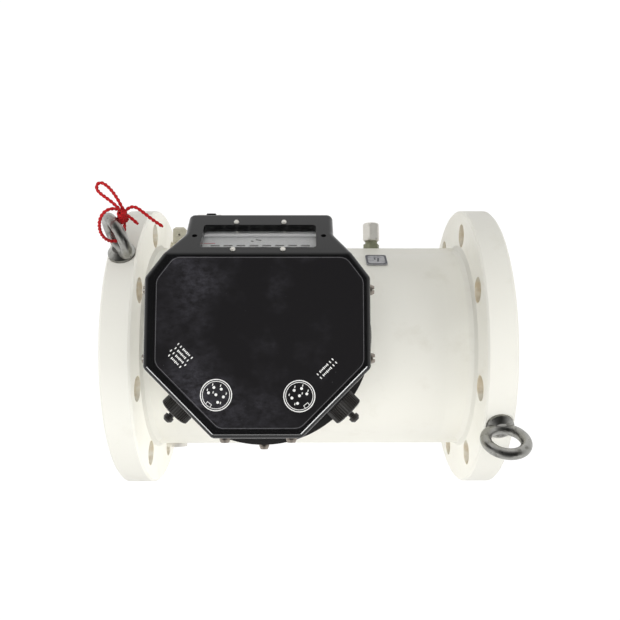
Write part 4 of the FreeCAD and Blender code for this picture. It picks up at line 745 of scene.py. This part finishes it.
SLOPE_UP = Vector((0.0, math.sqrt(0.5), math.sqrt(0.5)))
SLOPE_OUT = Vector((0.0, -math.sqrt(0.5), math.sqrt(0.5)))
DRUM_COUNT = 8
DRUM_PITCH = 8.14
DRUM_RADIUS = 9.5
DRUM_AXIS = Vector((HEAD_X, *joint_place("drum_1_spin").yz))
DIGIT_SIZE = 6.2
DIGIT_LIFT = 0.06
DIGIT_STRIPS = 4
DIGIT_STRIP_HEIGHT = 0.6
READING = (4, 7, 2, 5, 1, 0, 0, 0)
PLATE_REACH = 11.1
PLATE_FRONT = DRUM_AXIS + SLOPE_OUT * PLATE_REACH
# Bars by length, width, place and turn
PLATE_RULE = (7.4, 0.6, 32.3, -7.8, 0.0)
UNIT_BARS = ((3.8, 1.1, 1.4, -11.6, -0.25), (1.9, 1.1, 5.3, -10.3, -0.25))
# Painted shadow at each drum's opening: the level of its dark bar, and the bar's length and width
APERTURE_SHADOW_LEVEL = -5.5
APERTURE_SHADOW_BAR = (5.8, 1.0)


def digit_shape(digit):
    """The flat outline of one digit, cut into low strips so that it can bend."""
    text = bpy.data.curves.new("digit", "FONT")
    text.body = str(digit)
    text.size = DIGIT_SIZE
    text.align_x = "CENTER"
    text.align_y = "CENTER"
    text.resolution_u = 4
    holder = bpy.data.objects.new("digit", text)
    mesh = bpy.data.meshes.new_from_object(holder)
    shape = bmesh.new()
    shape.from_mesh(mesh)
    bpy.data.meshes.remove(mesh)
    bpy.data.objects.remove(holder)
    bpy.data.curves.remove(text)
    for number in range(-DIGIT_STRIPS, DIGIT_STRIPS + 1):
        everything = shape.verts[:] + shape.edges[:] + shape.faces[:]
        level = (0, number * DIGIT_STRIP_HEIGHT, 0)
        bmesh.ops.bisect_plane(shape, geom=everything, plane_co=level, plane_no=(0, 1, 0))
    return shape


def drum_aside(number):
    """How far a drum's middle lies from the head's axis, counted from the fastest drum."""
    return (DRUM_COUNT - 1 - 2 * number) * DRUM_PITCH / 2


def drum_digits(number, reading):
    """Ten digits bent around one drum, with the reading behind the window."""
    centre = DRUM_AXIS + Vector((drum_aside(number), 0.0, 0.0))
    ring = bmesh.new()
    for digit in range(10):
        shape = digit_shape(digit)
        place = 2 * math.pi * (digit - reading) / 10
        for vertex in shape.verts:
            turn = place - vertex.co.y / DRUM_RADIUS
            out = SLOPE_OUT * math.cos(turn) - SLOPE_UP * math.sin(turn)
            vertex.co = centre + Vector((vertex.co.x, 0.0, 0.0)) + out * (DRUM_RADIUS + DIGIT_LIFT)
        mesh = bpy.data.meshes.new("digit")
        shape.to_mesh(mesh)
        shape.free()
        ring.from_mesh(mesh)
        bpy.data.meshes.remove(mesh)
    name = f"drum_{number + 1}_digits"
    return piece_from_bmesh(name, ring, f"drum_{number + 1}", WHITE_INK)


def plate_marks():
    """A red rule beside the fastest drum, bars for the unit and a dark bar of painted shadow at
    each drum's opening.
    """
    slope = Matrix.Rotation(math.pi / 4, 4, "X")
    place = Matrix.Translation(PLATE_FRONT + SLOPE_OUT * PRINT_LIFT) @ slope
    rule = bmesh.new()
    flat_face(rule, bar_points(*PLATE_RULE), place)
    piece_from_bmesh("plate_red_rule", rule, "head", RED_INK)
    bars = bmesh.new()
    for bar in UNIT_BARS:
        flat_face(bars, bar_points(*bar), place)
    # A dark bar of painted shadow at each drum's opening
    for number in range(DRUM_COUNT):
        flat_face(bars, bar_points(*APERTURE_SHADOW_BAR, drum_aside(number), APERTURE_SHADOW_LEVEL, 0.0), place)
    piece_from_bmesh("plate_unit_bars_and_aperture_shadows", bars, "head", DARK_INK_AND_SHADOW)


# Small fittings, in millimetres

TAP_LEAN = math.radians(33.0)
TAP_OUT = Vector((0.0, -math.cos(TAP_LEAN), math.sin(TAP_LEAN)))
TAP_PLATE_THICKNESS = 1.0
# Outlines by width, height and corner, and bars by length, width, place and turn
TAP_BORDER = ((16.6, 18.6, 2.6), (13.6, 15.2, 2.6))
TAP_BARS = ((8.0, 1.5, -1.4, 0.5, 1.45), (4.2, 1.3, 1.2, -1.5, 1.60))


def box_middle(node):
    low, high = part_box(node)
    return (low + high) / 2 / MM


def rounded_outline(width, height, corner):
    """A rectangle with round corners, centred on the origin."""
    points = []
    for quarter, (sx, sy) in enumerate(((1, 1), (-1, 1), (-1, -1), (1, -1))):
        for k in range(ARC_STEPS + 1):
            turn = math.pi / 2 * (quarter + k / ARC_STEPS)
            x = sx * (width / 2 - corner) + corner * math.cos(turn)
            points.append((x, sy * (height / 2 - corner) + corner * math.sin(turn)))
    return points


def tap_plate_marks():
    """Dark border and two plain bars on the small plate beside the tapping."""
    lift = TAP_PLATE_THICKNESS / 2 + PRINT_LIFT
    turn = Matrix.Rotation(math.pi / 2 - TAP_LEAN, 4, "X")
    place = Matrix.Translation(box_middle("tap_plate") + TAP_OUT * lift) @ turn
    shape = bmesh.new()
    outer, inner = TAP_BORDER
    flat_ring(shape, rounded_outline(*outer), rounded_outline(*inner), place)
    for bar in TAP_BARS:
        flat_face(shape, bar_points(*bar), place)
    return piece_from_bmesh("tap_plate_marks", shape, "meter", SLATE_INK)


# Catch on the front wall of the hood, in millimetres
CATCH_MIDDLE = Vector((HEAD_X + 32.5, FRONT_WALL - 0.9, 158.6))
CATCH_SIZE = (6.4, 2.4, 4.4)
CATCH_ROUNDING = 0.9
CATCH_ROUNDING_STEPS = 4
CATCH_PIN_ENDS = (HEAD_X + 26.0, HEAD_X + 41.5)
CATCH_PIN_LEVEL = 159.9
CATCH_PIN_RADIUS = 0.62
CATCH_PIN_SIDES = 14
CATCH_PIN_SEAT = 0.1
# Share of the pin's length and of its radius at each ring
CATCH_PIN_SHAPE = ((0.0, 0.6), (0.02, 1.0), (0.5, 0.96), (0.98, 1.0), (1.0, 0.6))


def rod(shape, first, last, radius):
    """Add a rod with slightly rounded ends between two points along x."""
    rings = []
    length = last.x - first.x
    for share, grow in CATCH_PIN_SHAPE:
        middle = first + Vector((share * length, 0.0, 0.0))
        points = circle_points(radius * grow, CATCH_PIN_SIDES)
        rings.append([shape.verts.new(middle + Vector((0.0, y, z))) for y, z in points])
    for low, high in zip(rings, rings[1:]):
        for k in range(CATCH_PIN_SIDES):
            after = (k + 1) % CATCH_PIN_SIDES
            shape.faces.new((low[k], low[after], high[after], high[k]))
    shape.faces.new(rings[0])
    shape.faces.new(rings[-1])


def hood_catch():
    """A small lug and the pin that runs through it, under the front edge of the hood."""
    lug = bmesh.new()
    bmesh.ops.create_cube(lug, size=1.0)
    bmesh.ops.scale(lug, vec=CATCH_SIZE, verts=lug.verts)
    bmesh.ops.bevel(lug, geom=lug.edges[:], offset=CATCH_ROUNDING, segments=CATCH_ROUNDING_STEPS,
                    profile=0.5, affect="EDGES")
    bmesh.ops.translate(lug, vec=CATCH_MIDDLE, verts=lug.verts)
    piece_from_bmesh("hood_catch_lug", lug, "head", FINISHES["black_hood"])
    pin = bmesh.new()
    front = FRONT_WALL - CATCH_PIN_RADIUS + CATCH_PIN_SEAT
    first, last = (Vector((x, front, CATCH_PIN_LEVEL)) for x in CATCH_PIN_ENDS)
    rod(pin, first, last, CATCH_PIN_RADIUS)
    smooth(piece_from_bmesh("hood_catch_pin", pin, "head", AGED_STEEL))


# Floor, light and camera

# Lamps by name, place and size in metres, and power in watts
LIGHT_TARGET = Vector((0.15, 0.0, 0.05))
SOFT_BOXES = (
    ("key_box", (0.15, 1.15, 0.95), (1.6, 0.7), 1.8),
    ("left_box", (1.15, 0.35, 0.75), (0.9, 0.7), 5.0),
    ("right_box", (-0.85, 0.35, 0.75), (0.9, 0.7), 5.0),
    ("top_box", (0.15, 0.0, 1.6), (0.7, 0.5), 7.0),
)
GLOSS_STRIP = ("gloss_strip", (0.15, 1.15, 0.95), (3.2, 0.45), 7.0)
HOOD_CARDS = (
    ("back_card", (0.28, 1.18, 1.33), (1.6, 0.5), 16.0),
    ("left_card", (1.21, 0.78, 1.24), (0.7, 0.5), 28.0),
    ("right_card", (-0.74, 0.80, 1.31), (0.7, 0.5), 38.0),
)
# Fills by name, place, power and the one node that they light
FILL_SIZE = (0.4, 0.2)
FILLS = (
    ("outlet_fill", (-0.35, 0.0, 0.15), 1.8, "outlet_flange_ring"),
    ("inlet_fill", (0.65, 0.0, 0.15), 1.1, "inlet_flange_ring"),
    ("body_fill", (0.15, 1.0, 0.10), 1.0, "meter_body"),
)

# Room: its light, and the heights between which a mirrored sky turns from white to dark
ROOM_COLOUR = (0.94, 0.94, 0.93, 1.0)
ROOM_STRENGTH = 0.53
WHITE = (1.0, 1.0, 1.0, 1.0)
DARK_SKY = (0.02, 0.02, 0.02, 1.0)
WHITE_SKY_END = 0.30
DARK_SKY_START = 0.86

# Floor, with lengths in metres
FLOOR_HALF = 3.0
FLOOR_GAP = 0.0002
FLOOR_GRAIN = 6.0
FLOOR_TINTS = ((0.74, 0.72, 0.68, 1.0), (0.78, 0.76, 0.72, 1.0))
FLOOR_SHADE = (0.14, 0.14, 0.14, 1.0)
FLOOR_GLOW = 0.93


def add_camera():
    data = bpy.data.cameras.new("camera")
    data.lens = CAMERA_LENS
    data.sensor_width = SENSOR_WIDTH
    data.clip_start = CLIP_START
    camera = bpy.data.objects.new("camera", data)
    camera.location = CAMERA_PLACE
    camera.rotation_euler = CAMERA_TURN
    bpy.context.scene.collection.objects.link(camera)
    bpy.context.scene.camera = camera


def add_softbox(name, place, size, power, in_gloss=False, in_diffuse=True):
    """A soft light that points at the middle of the object."""
    data = bpy.data.lights.new(name, "AREA")
    data.shape = "RECTANGLE"
    data.size = size[0]
    data.size_y = size[1]
    data.energy = power
    lamp = bpy.data.objects.new(name, data)
    lamp.location = place
    lamp.rotation_euler = (LIGHT_TARGET - Vector(place)).to_track_quat("-Z", "Y").to_euler()
    lamp.visible_glossy = in_gloss
    lamp.visible_diffuse = in_diffuse
    bpy.context.scene.collection.objects.link(lamp)
    return lamp


def lit_group(node):
    """A collection of one node, for a lamp that lights nothing else."""
    group = bpy.data.collections.new("lit_" + node)
    group.objects.link(nodes[node])
    return group


def add_lights():
    """Boxes and a strip for the whole object, cards for the hood, and fills for one node each."""
    for box in SOFT_BOXES:
        add_softbox(*box)
    add_softbox(*GLOSS_STRIP, in_gloss=True, in_diffuse=False)
    hood_only = lit_group("hood")
    for hood_card in HOOD_CARDS:
        card = add_softbox(*hood_card, in_gloss=True, in_diffuse=False)
        card.light_linking.receiver_collection = hood_only
    for name, place, power, node in FILLS:
        fill = add_softbox(name, place, FILL_SIZE, power)
        alone = lit_group(node)
        fill.light_linking.receiver_collection = alone
        fill.light_linking.blocker_collection = alone


def add_world():
    """White for the camera, bright at the horizon and dark overhead in reflections."""
    world = bpy.data.worlds.new("studio")
    bpy.context.scene.world = world
    world.use_nodes = True
    tree = world.node_tree
    tree.nodes.clear()
    output = tree.nodes.new("ShaderNodeOutputWorld")
    paths = tree.nodes.new("ShaderNodeLightPath")
    place = tree.nodes.new("ShaderNodeTexCoord")
    height = tree.nodes.new("ShaderNodeSeparateXYZ")
    tree.links.new(place.outputs["Generated"], height.inputs["Vector"])
    sky = tree.nodes.new("ShaderNodeValToRGB")
    stops = ((WHITE_SKY_END, WHITE), (DARK_SKY_START, DARK_SKY))
    for stop, (level, colour) in zip(sky.color_ramp.elements, stops):
        stop.position = level
        stop.color = colour
    tree.links.new(height.outputs["Z"], sky.inputs["Fac"])
    room = tree.nodes.new("ShaderNodeBackground")
    room.inputs["Color"].default_value = ROOM_COLOUR
    room.inputs["Strength"].default_value = ROOM_STRENGTH
    mirrored = tree.nodes.new("ShaderNodeBackground")
    tree.links.new(sky.outputs["Color"], mirrored.inputs["Color"])
    seen = tree.nodes.new("ShaderNodeBackground")
    seen.inputs["Color"].default_value = WHITE
    first = tree.nodes.new("ShaderNodeMixShader")
    tree.links.new(paths.outputs["Is Glossy Ray"], first.inputs["Fac"])
    tree.links.new(room.outputs["Background"], first.inputs[1])
    tree.links.new(mirrored.outputs["Background"], first.inputs[2])
    last = tree.nodes.new("ShaderNodeMixShader")
    tree.links.new(paths.outputs["Is Camera Ray"], last.inputs["Fac"])
    tree.links.new(first.outputs["Shader"], last.inputs[1])
    tree.links.new(seen.outputs["Background"], last.inputs[2])
    tree.links.new(last.outputs["Shader"], output.inputs["Surface"])


def floor_material():
    """Pale floor that reads as white to the camera and still takes the object's shadow."""
    material = bpy.data.materials.new("pale_floor")
    material.use_nodes = True
    tree = material.node_tree
    tree.nodes.clear()
    output = tree.nodes.new("ShaderNodeOutputMaterial")
    paths = tree.nodes.new("ShaderNodeLightPath")
    place = tree.nodes.new("ShaderNodeTexCoord")
    grain = tree.nodes.new("ShaderNodeTexNoise")
    grain.inputs["Scale"].default_value = FLOOR_GRAIN
    tree.links.new(place.outputs["Object"], grain.inputs["Vector"])
    tint = tree.nodes.new("ShaderNodeValToRGB")
    for stop, colour in zip(tint.color_ramp.elements, FLOOR_TINTS):
        stop.color = colour
    tree.links.new(grain.outputs["Fac"], tint.inputs["Fac"])
    paint = tree.nodes.new("ShaderNodeBsdfDiffuse")
    tree.links.new(tint.outputs["Color"], paint.inputs["Color"])
    thin = tree.nodes.new("ShaderNodeBsdfDiffuse")
    thin.inputs["Color"].default_value = FLOOR_SHADE
    glow = tree.nodes.new("ShaderNodeEmission")
    glow.inputs["Strength"].default_value = FLOOR_GLOW
    lit = tree.nodes.new("ShaderNodeAddShader")
    tree.links.new(thin.outputs["BSDF"], lit.inputs[0])
    tree.links.new(glow.outputs["Emission"], lit.inputs[1])
    looked_at = paths.outputs["Is Camera Ray"]
    for ray in ("Is Glossy Ray", "Is Transmission Ray"):
        either = tree.nodes.new("ShaderNodeMath")
        either.operation = "MAXIMUM"
        tree.links.new(looked_at, either.inputs[0])
        tree.links.new(paths.outputs[ray], either.inputs[1])
        looked_at = either.outputs["Value"]
    mix = tree.nodes.new("ShaderNodeMixShader")
    tree.links.new(looked_at, mix.inputs["Fac"])
    tree.links.new(paint.outputs["BSDF"], mix.inputs[1])
    tree.links.new(lit.outputs["Shader"], mix.inputs[2])
    tree.links.new(mix.outputs["Shader"], output.inputs["Surface"])
    return material


def add_floor():
    level = cad_box[0][2] - FLOOR_GAP
    quarters = ((-1, -1), (1, -1), (1, 1), (-1, 1))
    corners = [(x * FLOOR_HALF, y * FLOOR_HALF, level) for x, y in quarters]
    mesh = bpy.data.meshes.new("floor")
    mesh.from_pydata(corners, [], [(0, 1, 2, 3)])
    mesh.materials.append(floor_material())
    floor = bpy.data.objects.new("floor", mesh)
    bpy.context.scene.collection.objects.link(floor)


bpy.context.scene.view_settings.view_transform = "Standard"
dress_cad_nodes()
tie_cords()
label_edge()
pin_diagrams()
label_lines()
for number, reading in enumerate(READING):
    drum_digits(number, reading)
plate_marks()
tap_plate_marks()
hood_catch()
add_floor()
add_lights()
add_world()
add_camera()
